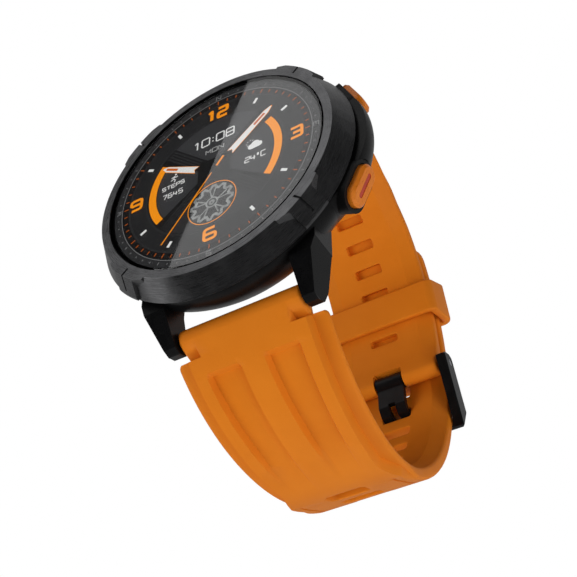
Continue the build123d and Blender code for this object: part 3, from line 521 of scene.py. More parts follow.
def front_outer(angle, x):
    """Outer face of the long half: pad, channels and the lines along its edges."""
    across = abs(x)
    breaks = outer_breaks(angle)
    channel_in, crease, channel_out = breaks[2], breaks[9], breaks[10]
    wall_top, wall_foot = breaks[11], breaks[13]
    flange = ramp(angle, *FLANGE_RISES, FLANGE_T, STRAP_T)
    sinks = ramp(angle, *PAD_SINKS, 0.0, PAD_T - STRAP_T)
    top = ramp(angle, *PAD_SWELLS, PAD_START_T, PAD_T) - sinks
    share = held((wall_foot - across) / (wall_foot - wall_top))
    height = flange + (top - flange) * (1 - (1 - share) ** PAD_SIDE_BULGE)
    deep = ramp(angle, *CHANNEL_STARTS, 0.0, CHANNEL_DEEP) * ramp(angle, *CHANNEL_FADES, 1.0, 0.0)
    inner_side = held((across - channel_in) / (2 * WALL))
    outer_side = held((channel_out - across) / (2 * WALL))
    channel = deep * eased(inner_side * outer_side)
    line = EDGE_LINE_DEEP * tent(across, crease, WALL)
    line *= ramp(angle, *EDGE_LINE_STARTS, 0.0, 1.0) * ramp(angle, *EDGE_LINE_FADES, 1.0, 0.0)
    crown = (across / STRAP_END_HALF) ** 4 * ramp(angle, BAND_START, PAD_END, CROWN_DROP, 0.0)
    return height - channel - line - crown


def bevelled_inside(angle, x):
    """How far the wrist side slopes back along the strap's edges."""
    margin = band_half(angle) - INNER_MARGIN
    return INNER_SLOPE * max(0.0, (abs(x) - margin) / (INNER_MARGIN - EDGE_ROUND))


def long_surfaces(angle, x):
    """Inner and outer face of the long half, outwards from the wrist ellipse."""
    rise = lift(angle)
    thinner = ramp(angle, TAIL_END - TAIL_THINS_OVER, TAIL_END, 0.0, TAIL_THINNER)
    return rise + bevelled_inside(angle, x), rise + front_outer(angle, x) - thinner


def turned_round(angle):
    """The angle on the long half that lies as far from its bar."""
    return 540.0 - angle


def short_surfaces(angle, x):
    """The same for the short half, which has the long half's shape turned round."""
    low = lift(angle) - DEPTH
    return low + bevelled_inside(turned_round(angle), x), low + front_outer(turned_round(angle), x)


def both_sides(places):
    """The places across one half, and the same on the other side of the middle."""
    return [-x for x in reversed(places[1:])] + places


def hole_rows(middles, hole):
    """Lengths along the loop where a row of vertices has to lie."""
    _, half, corner = hole[0]
    return [m + d for m in middles for d in (-half, -half + corner, half - corner, half)]


def filled(keys, most):
    """Sorted lengths with no gap over most."""
    keys = sorted(keys)
    out = [keys[0]]
    for a, b in zip(keys, keys[1:]):
        if b - a < 1e-6:
            continue
        count = max(1, int((b - a) / most + 0.999))
        out += [a + (b - a) * i / count for i in range(1, count + 1)]
    return out


class Tube:
    """Closed tube of strap: rows along the loop, each an outer face, an inner face and
    rounded sides. A hole goes right through, or to a depth from the inner face."""

    def __init__(self):
        self.bm = bmesh.new()
        self.outer = []
        self.inner = []
        self.sides = []
        self.weight = self.bm.edges.layers.float.new("bevel_weight_edge")

    def row(self, outside, inside, half, place, low, high):
        """place(x, offset) gives a point; low and high give the faces' offsets at x."""
        self.outer.append([self.bm.verts.new(place(x, high(x))) for x in outside])
        self.inner.append([self.bm.verts.new(place(x, low(x))) for x in inside])
        arcs = []
        for sign in (1, -1):
            edge = sign * outside[-1]
            top, bottom = high(edge), low(edge)
            reach = half - abs(edge)
            r = min(reach, (top - bottom) / 2)
            arc = []
            for middle, turns in ((top - r, (67.5, 45.0, 22.5, 0.0)),
                                  (bottom + r, (0.0, -22.5, -45.0, -67.5))):
                for a in map(radians, turns):
                    point = place(edge + sign * reach * cos(a), middle + r * sin(a))
                    arc.append(self.bm.verts.new(point))
            arcs.append(arc)
        self.sides.append(arcs)

    def quad(self, grid, r, c):
        self.bm.faces.new((grid[r][c], grid[r][c + 1], grid[r + 1][c + 1], grid[r + 1][c]))

    def ring(self, r, side, col):
        return [self.outer[r][col], *self.sides[r][side], self.inner[r][col]]

    def skin(self, holes, depth, squeeze):
        """Faces between the rows, but for the holes, given as (first, last) row and column."""
        rows, cols = len(self.outer), len(self.outer[0])
        open_cells = {(r, c) for r0, r3, c0, c3 in holes for r in range(r0, r3)
                      for c in range(c0, c3)}
        ends = ((0, cols - 1), (1, 0))
        for r in range(rows - 1):
            for c in range(cols - 1):
                if (r, c) not in open_cells:
                    self.quad(self.inner, r, c)
                if depth or (r, c) not in open_cells:
                    self.quad(self.outer, r, c)
            for side, col in ends:
                ring0, ring1 = self.ring(r, side, col), self.ring(r + 1, side, col)
                for i in range(len(ring0) - 1):
                    self.bm.faces.new((ring0[i], ring0[i + 1], ring1[i + 1], ring1[i]))
        for hole in holes:
            self.walls(hole, depth, squeeze)
        for r in (0, rows - 1):
            for c in range(cols - 1):
                self.bm.faces.new((self.outer[r][c], self.outer[r][c + 1], self.inner[r][c + 1],
                                   self.inner[r][c]))
            for side, col in ends:
                self.bm.faces.new(self.ring(r, side, col))
        loose = [v for v in self.bm.verts if not v.link_faces]
        bmesh.ops.delete(self.bm, geom=loose, context="VERTS")

    def walls(self, hole, depth, squeeze):
        """Walls of a hole with its four corners cut across, and its floor if it is blind."""
        r0, r3, c0, c3 = hole
        path = [(r0, c) for c in range(c0 + 1, c3)]
        path += [(r, c3) for r in range(r0 + 1, r3)]
        path += [(r3, c) for c in range(c3 - 1, c0, -1)]
        path += [(r, c0) for r in range(r3 - 1, r0, -1)]
        corners = [((r0, c0), (r0, c0 + 1), (r0 + 1, c0)), ((r0, c3), (r0 + 1, c3), (r0, c3 - 1)),
                   ((r3, c3), (r3, c3 - 1), (r3 - 1, c3)), ((r3, c0), (r3 - 1, c0), (r3, c0 + 1))]
        middle = (self.inner[r0][c0].co + self.inner[r3][c3].co) / 2
        for r, c in path + [corner[0] for corner in corners]:
            place = self.inner[r][c].co
            place.yz = middle.yz + (place.yz - middle.yz) * squeeze
        if depth:
            faces = (self.inner,)
            foot = {}
            for r, c in path:
                inwards = (self.outer[r][c].co - self.inner[r][c].co).normalized()
                foot[(r, c)] = self.bm.verts.new(self.inner[r][c].co + inwards * depth)
            self.bm.faces.new([foot[at] for at in path])
        else:
            faces = (self.outer, self.inner)
            foot = {(r, c): self.outer[r][c] for r, c in path}
        for face in faces:
            for corner in corners:
                self.bm.faces.new([face[r][c] for r, c in corner])
        for (ra, ca), (rb, cb) in zip(path, path[1:] + path[:1]):
            self.bm.faces.new([foot[(ra, ca)], foot[(rb, cb)], self.inner[rb][cb],
                               self.inner[ra][ca]])
            for face in faces:
                edge = self.bm.edges.get((face[ra][ca], face[rb][cb]))
                edge[self.weight] = 1.0


# Turns of the rows on a rounded end, from its tip to its axis.
ROUND_END = (88.0, 78.0, 66.0, 54.0, 42.0, 30.0, 18.0, 6.0)
ROW_STEP = 0.95          # most that two rows of the strap lie apart
SLOT_EDGE_R = 0.2


def strap_piece(name, ends, keys, surfaces, hole_middles, hole, depth, breaks_at, half_at,
                round_ends, mats):
    """Lofts one half of the strap. ends is (first, last) length along the loop, and
    round_ends gives the middle, radius and blend of a rounded end at a length."""
    tube = Tube()
    lengths = filled([*ends, *keys, *hole_rows(hole_middles, hole)], ROW_STEP)

    def at_length(length):
        angle = angle_at(length)

        def place(x, offset):
            y, z = loop_point(angle, offset)
            return x, y, z
        return angle, place

    def add_row(breaks_angle, place, low, high):
        outside, inside = (both_sides(side) for side in breaks_at(breaks_angle))
        tube.row(outside, inside, half_at(breaks_angle), place, low, high)

    def rounded_row(length, turn, along):
        """Row on the rounded end whose axis lies at a length, turned from the end."""
        middle, radius, _ = round_ends[length]
        t = radius * sin(radians(turn)) * along
        h = radius * cos(radians(turn))
        place = at_length(length + t)[1]
        add_row(angle_at(length), place, lambda x: middle - h, lambda x: middle + h)

    def plain_row(length):
        angle, place = at_length(length)

        def faces(x):
            low, high = surfaces(angle, x)
            for end, (middle, radius, blend) in round_ends.items():
                share = eased(tent(length, end, blend))
                low += (middle - radius - low) * share
                high += (middle + radius - high) * share
            return low, high

        add_row(angle, place, lambda x: faces(x)[0], lambda x: faces(x)[1])

    first, last = ends
    if first in round_ends:
        for turn in ROUND_END:
            rounded_row(first, turn, -1)
    row_of = {}
    for length in lengths:
        row_of[round(length, 6)] = len(tube.outer)
        plain_row(length)
    if last in round_ends:
        for turn in reversed(ROUND_END):
            rounded_row(last, turn, 1)
    middle = len(tube.outer[0]) // 2
    half = hole[0][1]
    holes = [(row_of[round(m - half, 6)], row_of[round(m + half, 6)], middle - HOLE_COLUMN,
              middle + HOLE_COLUMN) for m in hole_middles]
    tube.skin(holes, depth, hole[1][1] / half)
    piece = make_piece(name, tube.bm, mats["strap_silicone"], "strap_loop")
    bevel = piece.modifiers.new("soft_slot_edges", "BEVEL")
    bevel.limit_method = "WEIGHT"
    bevel.width = SLOT_EDGE_R * MM
    bevel.segments = 3
    bevel.use_clamp_overlap = False
    return piece


def rounded_box(name, low, high, radius):
    """Box with rounded edges, for cutting."""
    bm = bmesh.new()
    bmesh.ops.create_cube(bm, size=1.0)
    for v in bm.verts:
        v.co = Vector([a if c < 0 else b for c, a, b in zip(v.co, low, high)])
    bmesh.ops.bevel(bm, geom=bm.edges[:], offset=radius, segments=3, affect="EDGES")
    mesh = bpy.data.meshes.new(name)
    bm.to_mesh(mesh)
    bm.free()
    mesh.transform(Matrix.Scale(MM, 4))
    return new_object(name, mesh)


def cut_away(piece, cutter, place):
    """Takes a cutter's shape out of a piece, for good."""
    cutter.matrix_world = place
    cut = piece.modifiers.new("cut", "BOOLEAN")
    cut.operation = "DIFFERENCE"
    cut.solver = "EXACT"
    cut.object = cutter
    bpy.context.view_layer.update()
    seen = piece.evaluated_get(bpy.context.evaluated_depsgraph_get())
    mesh = bpy.data.meshes.new_from_object(seen)
    piece.modifiers.clear()
    piece.data = mesh
    shade_smooth(mesh, 50)
    bpy.data.objects.remove(cutter)


def cut_lever_recess(piece, side):
    """Recess in the barrel that the release lever slides in."""
    low_x = LEVER_X - LEVER_TRAVEL - LEVER_R - SOFT_GAP
    high_x = LEVER_X + LEVER_R + SOFT_GAP
    half, past = 1.0, 2.4        # the recess's half width, and how far it goes past the lever
    cutter = rounded_box("cutter", (low_x, -half, -LEVER_REACH - past), (high_x, half, 0.0), 0.15)
    cut_away(piece, cutter, (Matrix.Translation((0, side * BAR_Y * MM, BAR_Z * MM))
                             @ Matrix.Rotation(radians(-side * LEVER_TILT), 4, "X")))


def cut_tongue_notch(piece):
    """Gap in the roll where the tongue sits on the pin."""
    notch = TONGUE_HALF + SOFT_GAP
    reach = TONGUE_HUB_R + SOFT_GAP
    past = 5.0           # well past the roll on the other sides
    cutter = rounded_box("cutter", (-notch, PIN_Y - past, PIN_Z - past),
                         (notch, PIN_Y + reach, PIN_Z + past), 0.3)
    cut_away(piece, cutter, Matrix())


BARREL_AT = 132.1
BARREL_MIDDLE, BARREL_BLEND, ROLL_BLEND = 1.75, 3.2, 7.0
SHOULDER_KEYS = tuple(SHOULDER_AT + d for d in (-0.1, -0.01, 0.1, 0.4, 0.9, 1.6))
STRAP_KEYS = (*SHOULDER_KEYS, *CHANNEL_STARTS, sum(CHANNEL_STARTS) / 2, PAD_OUT_FROM, PAD_OUT_TO,
              EDGE_LINE_STARTS[0], sum(EDGE_LINE_STARTS) / 2, FLANGE_RISES[0])
TAIL_CORNER = 3.0
TAIL_KEYS = (3.0, 2.2, 1.5, 0.9, 0.5, 0.2, 0.05)     # lengths back from the tail's end


def make_strap(mats):
    """Both halves of the strap, with their slots, pads, channels and rounded ends."""
    barrel = (BARREL_MIDDLE, BARREL_R, BARREL_BLEND)
    tail_tip = length_at(TAIL_END)

    def tail_half(angle):
        """Half width of the long half, rounded off at the tail's end."""
        return band_half(angle) - rounded_off(tail_tip - length_at(angle), TAIL_CORNER)

    def long_breaks(angle):
        shrink = tail_half(angle) / band_half(angle)
        return [b * shrink for b in outer_breaks(angle)], [b * shrink for b in inner_breaks(angle)]

    bar_length = length_at(BARREL_AT)
    first = length_at(low_angle(TONGUE_SLOT_Y)) - SLOTS_BEFORE_TONGUE * SLOT_PITCH
    slots = [first + i * SLOT_PITCH for i in range(LONG_SLOT_COUNT)]
    keys = [length_at(a) for a in STRAP_KEYS] + [tail_tip - d for d in TAIL_KEYS]
    strap_long = strap_piece("strap_long_silicone", (bar_length, tail_tip), keys, long_surfaces,
                             slots, THROUGH, None, long_breaks, tail_half,
                             {bar_length: barrel}, mats)
    cut_lever_recess(strap_long, -1)
    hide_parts("strap_long")

    def short_half(angle):
        return band_half(turned_round(angle))

    def short_breaks(angle):
        return outer_breaks(turned_round(angle), BLIND), inner_breaks(turned_round(angle), BLIND)

    roll_length = length_at(low_angle(PIN_Y))
    roll = (loop_point(low_angle(PIN_Y))[1] - PIN_Z, ROLL_R, ROLL_BLEND)
    bar_end = length_at(turned_round(BARREL_AT))
    pockets = [length_at(low_angle(POCKET_Y)) + i * POCKET_PITCH for i in range(POCKET_COUNT)]
    keys = [length_at(turned_round(a)) for a in STRAP_KEYS]
    strap_short = strap_piece("strap_short_silicone", (roll_length, bar_end), keys, short_surfaces,
                              pockets, BLIND, POCKET_DEPTH, short_breaks, short_half,
                              {roll_length: roll, bar_end: barrel}, mats)
    cut_lever_recess(strap_short, 1)
    cut_tongue_notch(strap_short)
    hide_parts("strap_short")


QUARTERS = ((1, 1, 0), (-1, 1, 90), (-1, -1, 180), (1, -1, 270))


def rounded_loop(half, low, high, radius, steps=7):
    """Points round a rectangle with rounded corners, from (x, offset)."""
    points = []
    for sx, sz, start in QUARTERS:
        cx = sx * (half - radius)
        cz = (high - radius) if sz > 0 else (low + radius)
        for i in range(steps):
            a = radians(start + 90.0 * i / (steps - 1))
            points.append((cx + radius * cos(a), cz + radius * sin(a)))
    return points


KEEPER_CORNER, KEEPER_IN_R, KEEPER_OUT_R = 0.55, 0.5, 1.9


def keeper_profile(width):
    """The band's cross section: along the strap, and as a share from inside to outside."""
    flat = KEEPER_CORNER / KEEPER_WALL
    points = []
    for cs, ct, start in QUARTERS:
        for i in range(5):
            a = radians(start + 22.5 * i)
            points.append((cs * (width / 2 - KEEPER_CORNER) + KEEPER_CORNER * cos(a),
                           0.5 + ct * (0.5 - flat) + flat * sin(a)))
    return points


def make_keeper(mats):
    """Keeper loop: a rounded band round both layers of the strap."""
    gap = SOFT_GAP + 0.05
    half = STRAP_HALF_LOW + gap
    s0, s1 = length_at(low_angle(KEEPER_Y0)), length_at(low_angle(KEEPER_Y1))
    bm = bmesh.new()
    rings = []
    for along, share in keeper_profile(s1 - s0):
        angle = angle_at((s0 + s1) / 2 + along)
        low = lift(angle) - DEPTH - gap
        high = lift(angle) + STRAP_T + gap
        inner = rounded_loop(half, low, high, KEEPER_IN_R)
        outer = rounded_loop(half + KEEPER_SIDE, low - KEEPER_WALL, high + KEEPER_WALL,
                             KEEPER_OUT_R)
        ring = []
        for (xi, oi), (xo, oo) in zip(inner, outer):
            y, z = loop_point(angle, oi + (oo - oi) * share)
            ring.append(bm.verts.new((xi + (xo - xi) * share, y, z)))
        rings.append(ring)
    join_rings(bm, rings)
    keeper = make_piece("keeper_silicone", bm, mats["strap_silicone"], "keeper",
                        smooth_angle=60)
    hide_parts("keeper")


# -------- dial picture
DIAL_Z = 11.655          # just above the display panel's face
DIAL_STEP = 0.024        # one layer of the picture


def level(layer):
    """Bottom and top height of a layer of the dial picture."""
    return DIAL_Z + layer * DIAL_STEP, DIAL_Z + (layer + 1) * DIAL_STEP


def on_dial(r, clock_angle):
    a = radians(clock_angle)
    return r * sin(a), r * cos(a)


def prism(bm, points, low, high):
    """Flat plate with the outline of the points."""
    bottom = [bm.verts.new((x, y, low)) for x, y in points]
    top = [bm.verts.new((x, y, high)) for x, y in points]
    bm.faces.new(top)
    bm.faces.new(list(reversed(bottom)))
    for i in range(len(points)):
        j = (i + 1) % len(points)
        bm.faces.new((bottom[i], bottom[j], top[j], top[i]))


def arc_points(r, a0, a1, step=3.0):
    count = max(2, int(abs(a1 - a0) / step) + 1)
    return [on_dial(r, a0 + (a1 - a0) * i / count) for i in range(count + 1)]


def arc_plate(bm, r0, r1, a0, a1, low, high):
    """Part of a flat ring between two clock angles."""
    prism(bm, arc_points(r1, a0, a1) + arc_points(r0, a1, a0), low, high)


def ring_plate(bm, r0, r1, low, high, count=144):
    """Whole flat ring."""
    rings = []
    for r, z in ((r0, low), (r1, low), (r1, high), (r0, high)):
        rings.append([bm.verts.new((*on_dial(r, 360.0 * i / count), z)) for i in range(count)])
    join_rings(bm, rings)


def softened(points, radius, closed, steps=4):
    """The same path with its corners made round."""
    out = []
    count = len(points)
    for i, p in enumerate(points):
        if not closed and i in (0, count - 1):
            out.append(p)
            continue
        a, b = Vector(points[i - 1]), Vector(points[(i + 1) % count])
        p = Vector(p)
        reach = min(radius, (a - p).length * 0.45, (b - p).length * 0.45)
        start, end = p + (a - p).normalized() * reach, p + (b - p).normalized() * reach
        for k in range(steps + 1):
            t = k / steps
            out.append(tuple(start * (1 - t) ** 2 + p * 2 * t * (1 - t) + end * t ** 2))
    return out


def ribbon(bm, points, width, low, high, closed=False):
    """Stroke of an even width along a path."""
    count = len(points)
    pts = [Vector(p) for p in points]
    rows = []
    for i, p in enumerate(pts):
        before = pts[i - 1] if (closed or i > 0) else None
        after = pts[(i + 1) % count] if (closed or i < count - 1) else None
        d0 = (p - before).normalized() if before is not None else (after - p).normalized()
        d1 = (after - p).normalized() if after is not None else d0
        n0, n1 = Vector((-d0.y, d0.x)), Vector((-d1.y, d1.x))
        n = (n0 + n1).normalized()
        n *= width / 2 / max(0.5, n.dot(n0))
        rows.append([bm.verts.new((p.x + s * n.x, p.y + s * n.y, z))
                     for s, z in ((-1, low), (1, low), (1, high), (-1, high))])
    join_rings(bm, rows, closed)
    if not closed:
        bm.faces.new(rows[0])
        bm.faces.new(list(reversed(rows[-1])))


# Plain single-stroke signs in a unit cell: each is a list of (closed, points).
BOX = [(0, 0), (0, 1), (1, 1), (1, 0)]
FIVE = [(False, [(1, 1), (0, 1), (0, 0.5), (1, 0.5), (1, 0), (0, 0)])]
SIGNS = {
    "0": [(True, BOX)],
    "1": [(False, [(0.15, 0.78), (0.6, 1), (0.6, 0)])],
    "2": [(False, [(0, 1), (1, 1), (1, 0.5), (0, 0.5), (0, 0), (1, 0)])],
    "3": [(False, [(0, 1), (1, 1), (1, 0), (0, 0)]), (False, [(0.2, 0.5), (0.95, 0.5)])],
    "4": [(False, [(0, 1), (0, 0.4), (1, 0.4)]), (False, [(0.75, 0.85), (0.75, 0)])],
    "5": FIVE,
    "6": [(False, [(0.9, 1), (0, 1), (0, 0), (1, 0), (1, 0.5), (0.1, 0.5)])],
    "7": [(False, [(0, 1), (1, 1), (0.4, 0)])],
    "8": [(True, BOX), (False, [(0.05, 0.5), (0.95, 0.5)])],
    "9": [(False, [(0.1, 0), (1, 0), (1, 1), (0, 1), (0, 0.5), (0.9, 0.5)])],
    ":": [(False, [(0.5, 0.22), (0.5, 0.34)]), (False, [(0.5, 0.66), (0.5, 0.78)])],
    "M": [(False, [(0, 0), (0, 1), (0.5, 0.4), (1, 1), (1, 0)])],
    "O": [(True, BOX)],
    "N": [(False, [(0, 0), (0, 1), (1, 0), (1, 1)])],
    "S": FIVE,
    "T": [(False, [(0, 1), (1, 1)]), (False, [(0.5, 0.95), (0.5, 0)])],
    "E": [(False, [(1, 1), (0, 1), (0, 0), (1, 0)]), (False, [(0.05, 0.5), (0.8, 0.5)])],
    "P": [(False, [(0, 0), (0, 1), (1, 1), (1, 0.45), (0.05, 0.45)])],
    "C": [(False, [(1, 1), (0, 1), (0, 0), (1, 0)])],
    "W": [(False, [(0, 1), (0.22, 0), (0.5, 0.6), (0.78, 0), (1, 1)])],
    "o": [(True, [(0.2, 0.6), (0.2, 1), (0.6, 1), (0.6, 0.6)])],
}
NARROW = {":": 0.35, "1": 0.75, "o": 0.6}


def write(bm, text, centre, height, cell, pen, gap, layer, turn=0.0, corner=0.3):
    """Draws a line of signs round a centre point. Cell is a sign's width over its height."""
    widths = [NARROW.get(c, 1.0) * cell * height for c in text]
    left = -(sum(widths) + gap * (len(text) - 1)) / 2
    low, high = level(layer)
    a = radians(-turn)
    for sign, width in zip(text, widths):
        scale_x = cell * height if sign not in NARROW else width
        for closed, points in SIGNS[sign]:
            placed = []
            for px, py in points:
                x = left + px * scale_x
                y = (py - 0.5) * height
                placed.append((centre[0] + x * cos(a) - y * sin(a),
                               centre[1] + x * sin(a) + y * cos(a)))
            if corner and len(placed) > 2:
                placed = softened(placed, corner * height * 0.5, closed)
            ribbon(bm, placed, pen, low, high, closed)
        left += width + gap


def circle(centre, r, count):
    """Points round a circle."""
    return [(centre[0] + r * sin(t), centre[1] + r * cos(t))
            for t in np.linspace(0, 2 * pi, count + 1)[:-1]]


def turned(outline, clock_angle, about=(0.0, 0.0)):
    """Points given along and across, turned to point along a clock angle."""
    t = radians(clock_angle)
    return [(about[0] + u * sin(t) + v * cos(t), about[1] + u * cos(t) - v * sin(t))
            for u, v in outline]


PANEL_NEAR = 3.1         # where a panel's pointed end begins


def panel_outline(clock_angle, near_half, slope_end, r_out):
    """Outline of one of the dial's four panels, which points along a clock angle."""
    widest = degrees(atan2(slope_end[1], slope_end[0]))
    arc = [(r_out * cos(radians(a)), r_out * sin(radians(a)))
           for a in np.linspace(widest, -widest, 24)]
    return turned([(PANEL_NEAR, near_half), *arc, (PANEL_NEAR, -near_half)], clock_angle)


def hand_outline(clock_angle, r0, r1, wide, tip, notch):
    """Baton with a pointed tip and a notched foot."""
    side, shoulder, point = wide / 2, wide * 0.4, 0.12
    return turned([(r0, side), (r1 - tip, shoulder), (r1, point), (r1, -point),
                   (r1 - tip, -shoulder), (r0, -side), (r0 + notch, 0)], clock_angle)


def spoke(bm, r_middle, half, clock_angle, pen, layer):
    """Short straight mark that points to the dial's middle."""
    ribbon(bm, [on_dial(r_middle - half, clock_angle), on_dial(r_middle + half, clock_angle)],
           pen, *level(layer))


DIAL_R = 19.35
COMPASS_RING_R, LINE_R, LINE_HALF = 18.0, 17.91, 0.05
HOUR_RING, RING_EDGE_OUT, RING_EDGE_IN = (13.2, 16.25), 16.55, 12.85
MINUTE_TRACK_R, COMPASS_TRACK_R, COMPASS_LETTER_R = 17.1, 18.6, 18.55
NUMERAL_Y, NUMERAL_X = 14.4, 15.1
ARC_RADII = (11.15, 12.55)


def draw_rings(draw):
    """Background, rings, tracks of ticks, compass letters, hour marks and numerals."""
    ring_plate(draw("dial_base", "black"), 0.05, DIAL_R, *level(0))
    ring_plate(draw("dial_outer_ring", "slate"), COMPASS_RING_R, DIAL_R, *level(1))
    ring_plate(draw("dial_lines", "line"), LINE_R - LINE_HALF, LINE_R + LINE_HALF, *level(1))
    ring_plate(draw("dial_rings", "ring"), *HOUR_RING, *level(1))
    ring_plate(draw("dial_ring_edges", "slate"), HOUR_RING[1], RING_EDGE_OUT, *level(2))
    ring_plate(draw("dial_ring_edges", "slate"), RING_EDGE_IN, HOUR_RING[0], *level(2))
    for minute in range(60):
        a = minute * 6.0
        on_hour = minute % 5 == 0
        spoke(draw("dial_minute_ticks", "dim_orange"), MINUTE_TRACK_R, 0.42 if on_hour else 0.3,
              a, 0.17, 2)
        if minute % 15:
            spoke(draw("dial_compass_ticks", "line"), COMPASS_TRACK_R, 0.26 if on_hour else 0.15,
                  a, 0.13, 2)
    for letter, a in (("N", 0), ("E", 90), ("S", 180), ("W", 270)):
        write(draw("dial_compass_letters", "line"), letter, on_dial(COMPASS_LETTER_R, a), 0.85,
              1.0, 0.14, 0, 2, turn=a, corner=0)
    for hour in (1, 2, 4, 5, 7, 8, 10, 11):
        spoke(draw("dial_hour_marks", "white"), 14.9, 0.6, hour * 30.0, 0.52, 3)
    numerals = draw("dial_numerals", "orange")
    write(numerals, "12", (0.0, NUMERAL_Y), 2.4, 0.72, 0.62, 0.75, 3, corner=0.25)
    write(numerals, "3", (NUMERAL_X, 0.1), 2.3, 0.85, 0.55, 0, 3, corner=0.3)
    write(numerals, "6", (0.0, -NUMERAL_Y), 2.3, 0.9, 0.55, 0, 3, corner=0.45)
    write(numerals, "9", (-NUMERAL_X, 0.1), 2.3, 0.9, 0.55, 0, 3, corner=0.45)


def draw_panels(draw):
    """Four panels, the bars between them, the two arcs and the hub."""
    for name, look, clock_angle in (("dial_top_panel", "charcoal", 0),
                                    ("dial_bottom_panel", "slate", 180)):
        prism(draw(name, look), panel_outline(clock_angle, 1.3, (9.6, 7.85), 12.7), *level(1))
    for clock_angle in (90, 270):
        prism(draw("dial_side_panels", "charcoal"),
              panel_outline(clock_angle, 1.45, (9.3, 6.15), 11.0), *level(1))
    for clock_angle in (45, 135, 225, 315):
        for aside in (-0.85, -0.30, 0.25, 0.80):
            ribbon(draw("dial_bars", "slate"), turned([(4.2, aside), (12.6, aside)], clock_angle),
                   0.28, *level(1))
    for middle in (90.0, 270.0):
        arc_plate(draw("dial_arcs", "orange"), *ARC_RADII, middle - 33.5, middle + 33.5, *level(2))
    ring_plate(draw("dial_hub", "black"), 0.3, 1.7, *level(3))


def draw_texts(draw):
    """Time, weekday, steps with a runner, and temperature with a cloud and a sun."""
    write(draw("dial_time", "white"), "10:08", (-0.4, 8.0), 1.85, 0.8, 0.24, 0.42, 3)
    write(draw("dial_day", "day"), "MON", (-0.1, 5.2), 0.95, 1.0, 0.15, 0.28, 3, corner=0.2)
    steps = draw("dial_steps", "white")
    write(steps, "STEPS", (-7.85, 0.8), 0.8, 0.85, 0.15, 0.22, 3, corner=0.2)
    write(steps, "7645", (-7.8, -1.25), 1.0, 0.75, 0.16, 0.26, 3, corner=0.2)
    weather = draw("dial_weather", "white")
    write(weather, "24oC", (7.7, -1.25), 1.15, 0.72, 0.17, 0.26, 3, corner=0.2)
    for x, y, r in ((6.9, 1.55, 0.6), (7.65, 1.85, 0.8), (8.4, 1.5, 0.55)):
        prism(weather, circle((x, y), r, 19), *level(3))
    ribbon(weather, [(6.9, 1.15), (8.4, 1.15)], 0.5, *level(4))
    for ray in range(0, 360, 45):
        ribbon(weather, turned([(0.55, 0), (0.8, 0)], ray, about=(6.7, 2.5)), 0.12, *level(3))
    prism(steps, circle((-7.55, 3.35), 0.2, 11), *level(3))
    body_and_leg = [(-7.7, 3.0), (-7.95, 2.4), (-7.55, 2.05), (-7.75, 1.6)]
    other_leg = [(-7.95, 2.4), (-8.45, 2.15)]
    arms = [(-8.35, 2.75), (-7.85, 2.95), (-7.45, 2.65), (-7.15, 2.8)]
    for path in (body_and_leg, other_leg, arms):
        ribbon(steps, path, 0.17, *level(3))


GEAR_AT = (0.0, -7.5)
GEAR_TIP_R, GEAR_ROOT_R, GEAR_TEETH, GEAR_SPOKES = 3.75, 3.1, 12, 5


def draw_gear(draw):
    """Open gear in a thin circle."""
    wheel = draw("dial_gear", "grey")
    corners = GEAR_TEETH * 4
    outline = []
    for i in range(corners):
        r = GEAR_TIP_R if i % 4 in (0, 1) else GEAR_ROOT_R
        outline += turned([(r, 0)], 360.0 * i / corners, about=GEAR_AT)
    ribbon(wheel, outline, 0.5, *level(3), closed=True)
    for i in range(GEAR_SPOKES):
        for aside in (-0.55, 0.55):
            ribbon(wheel, turned([(0.9, 0), (3.0, aside)], 360.0 * i / GEAR_SPOKES, about=GEAR_AT),
                   0.24, *level(3))
    for r, pen in ((1.0, 0.3), (0.35, 0.4)):
        ribbon(wheel, circle(GEAR_AT, r, 36), pen, *level(4), closed=True)
    ribbon(draw("dial_gear_circle", "orange"), circle(GEAR_AT, 4.4, 72), 0.13, *level(3),
           closed=True)


# Clock angle, foot, end, width and length of tip, and where its stripe runs.
HANDS = {
    "hour": (300.5, 3.9, 11.9, 1.3, 0.9, (8.4, 11.0)),
    "minute": (48.0, 4.0, 14.2, 1.35, 1.4, (9.9, 12.5)),
}
SECOND_ANGLE = 216.0


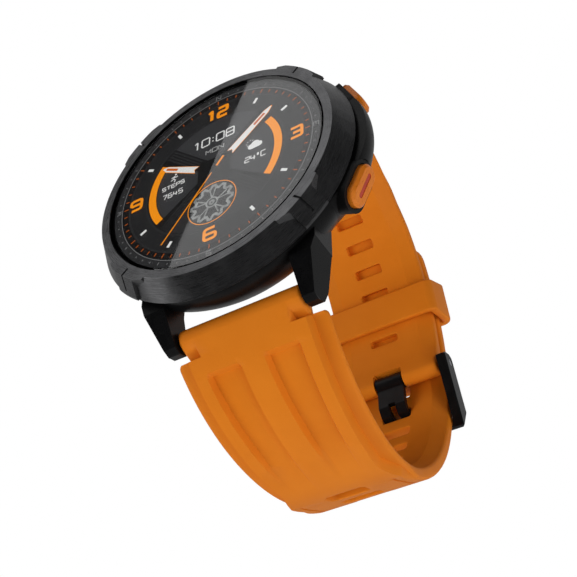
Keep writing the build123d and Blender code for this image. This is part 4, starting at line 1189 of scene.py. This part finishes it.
def draw_hands(draw):
    """Hour and minute hand with a coloured edge and stripe, and the thin second hand."""
    for name, (a, foot, end, wide, tip, stripe) in HANDS.items():
        prism(draw(f"dial_{name}_hand_edge", "orange"),
              hand_outline(a, foot - 0.08, end + 0.12, wide + 0.22, tip, 0.55), *level(5))
        prism(draw(f"dial_{name}_hand", "white"),
              hand_outline(a, foot, end - 0.1, wide, tip, 0.6), *level(6))
        ribbon(draw(f"dial_{name}_hand_stripe", "rust"), [on_dial(r, a) for r in stripe], 0.5,
               *level(7))
    second = draw("dial_second_hand", "orange")
    ribbon(second, [on_dial(r, SECOND_ANGLE) for r in (0.6, 15.3)], 0.2, *level(8))
    ribbon(second, [on_dial(r, SECOND_ANGLE - 180.0) for r in (0.9, 3.0)], 0.42, *level(8))


def make_dial():
    """The round picture on the display, layer on layer under the glass."""
    looks = {
        "black": screen("screen_black", (0.0045, 0.0045, 0.0046)),
        "ring": screen("screen_ring", (0.013, 0.013, 0.0135)),
        "charcoal": screen("screen_charcoal", (0.034, 0.034, 0.036)),
        "slate": screen("screen_slate", (0.022, 0.022, 0.023)),
        "line": screen("screen_line", (0.19, 0.19, 0.19)),
        "day": screen("screen_day", (0.40, 0.40, 0.39)),
        "grey": screen("screen_grey", (0.30, 0.31, 0.30), uneven=0.45, cell=1200.0),
        "white": screen("screen_white", (0.82, 0.82, 0.80)),
        "orange": screen("screen_orange", (1.0, 0.32, 0.005)),
        "rust": screen("screen_rust", (0.62, 0.12, 0.004)),
        "dim_orange": screen("screen_dim_orange", (0.42, 0.085, 0.003)),
    }
    shapes = {}

    def draw(name, look):
        """The mesh of a piece of the picture, begun when it is first asked for."""
        if name not in shapes:
            shapes[name] = (bmesh.new(), look)
        return shapes[name][0]

    draw_rings(draw)
    draw_panels(draw)
    draw_texts(draw)
    draw_gear(draw)
    draw_hands(draw)
    for name, (bm, look) in shapes.items():
        make_piece(name, bm, looks[look], "case")


# -------- the whole watch
make_camera()
make_stage()
materials = make_materials()
slot_of = {row["node"]: row["material_slot"] for row in frame["record"]["subparts"]}
for name, node in nodes.items():
    paint(node, materials[slot_of[name]])
make_strap(materials)
make_keeper(materials)
make_dial()
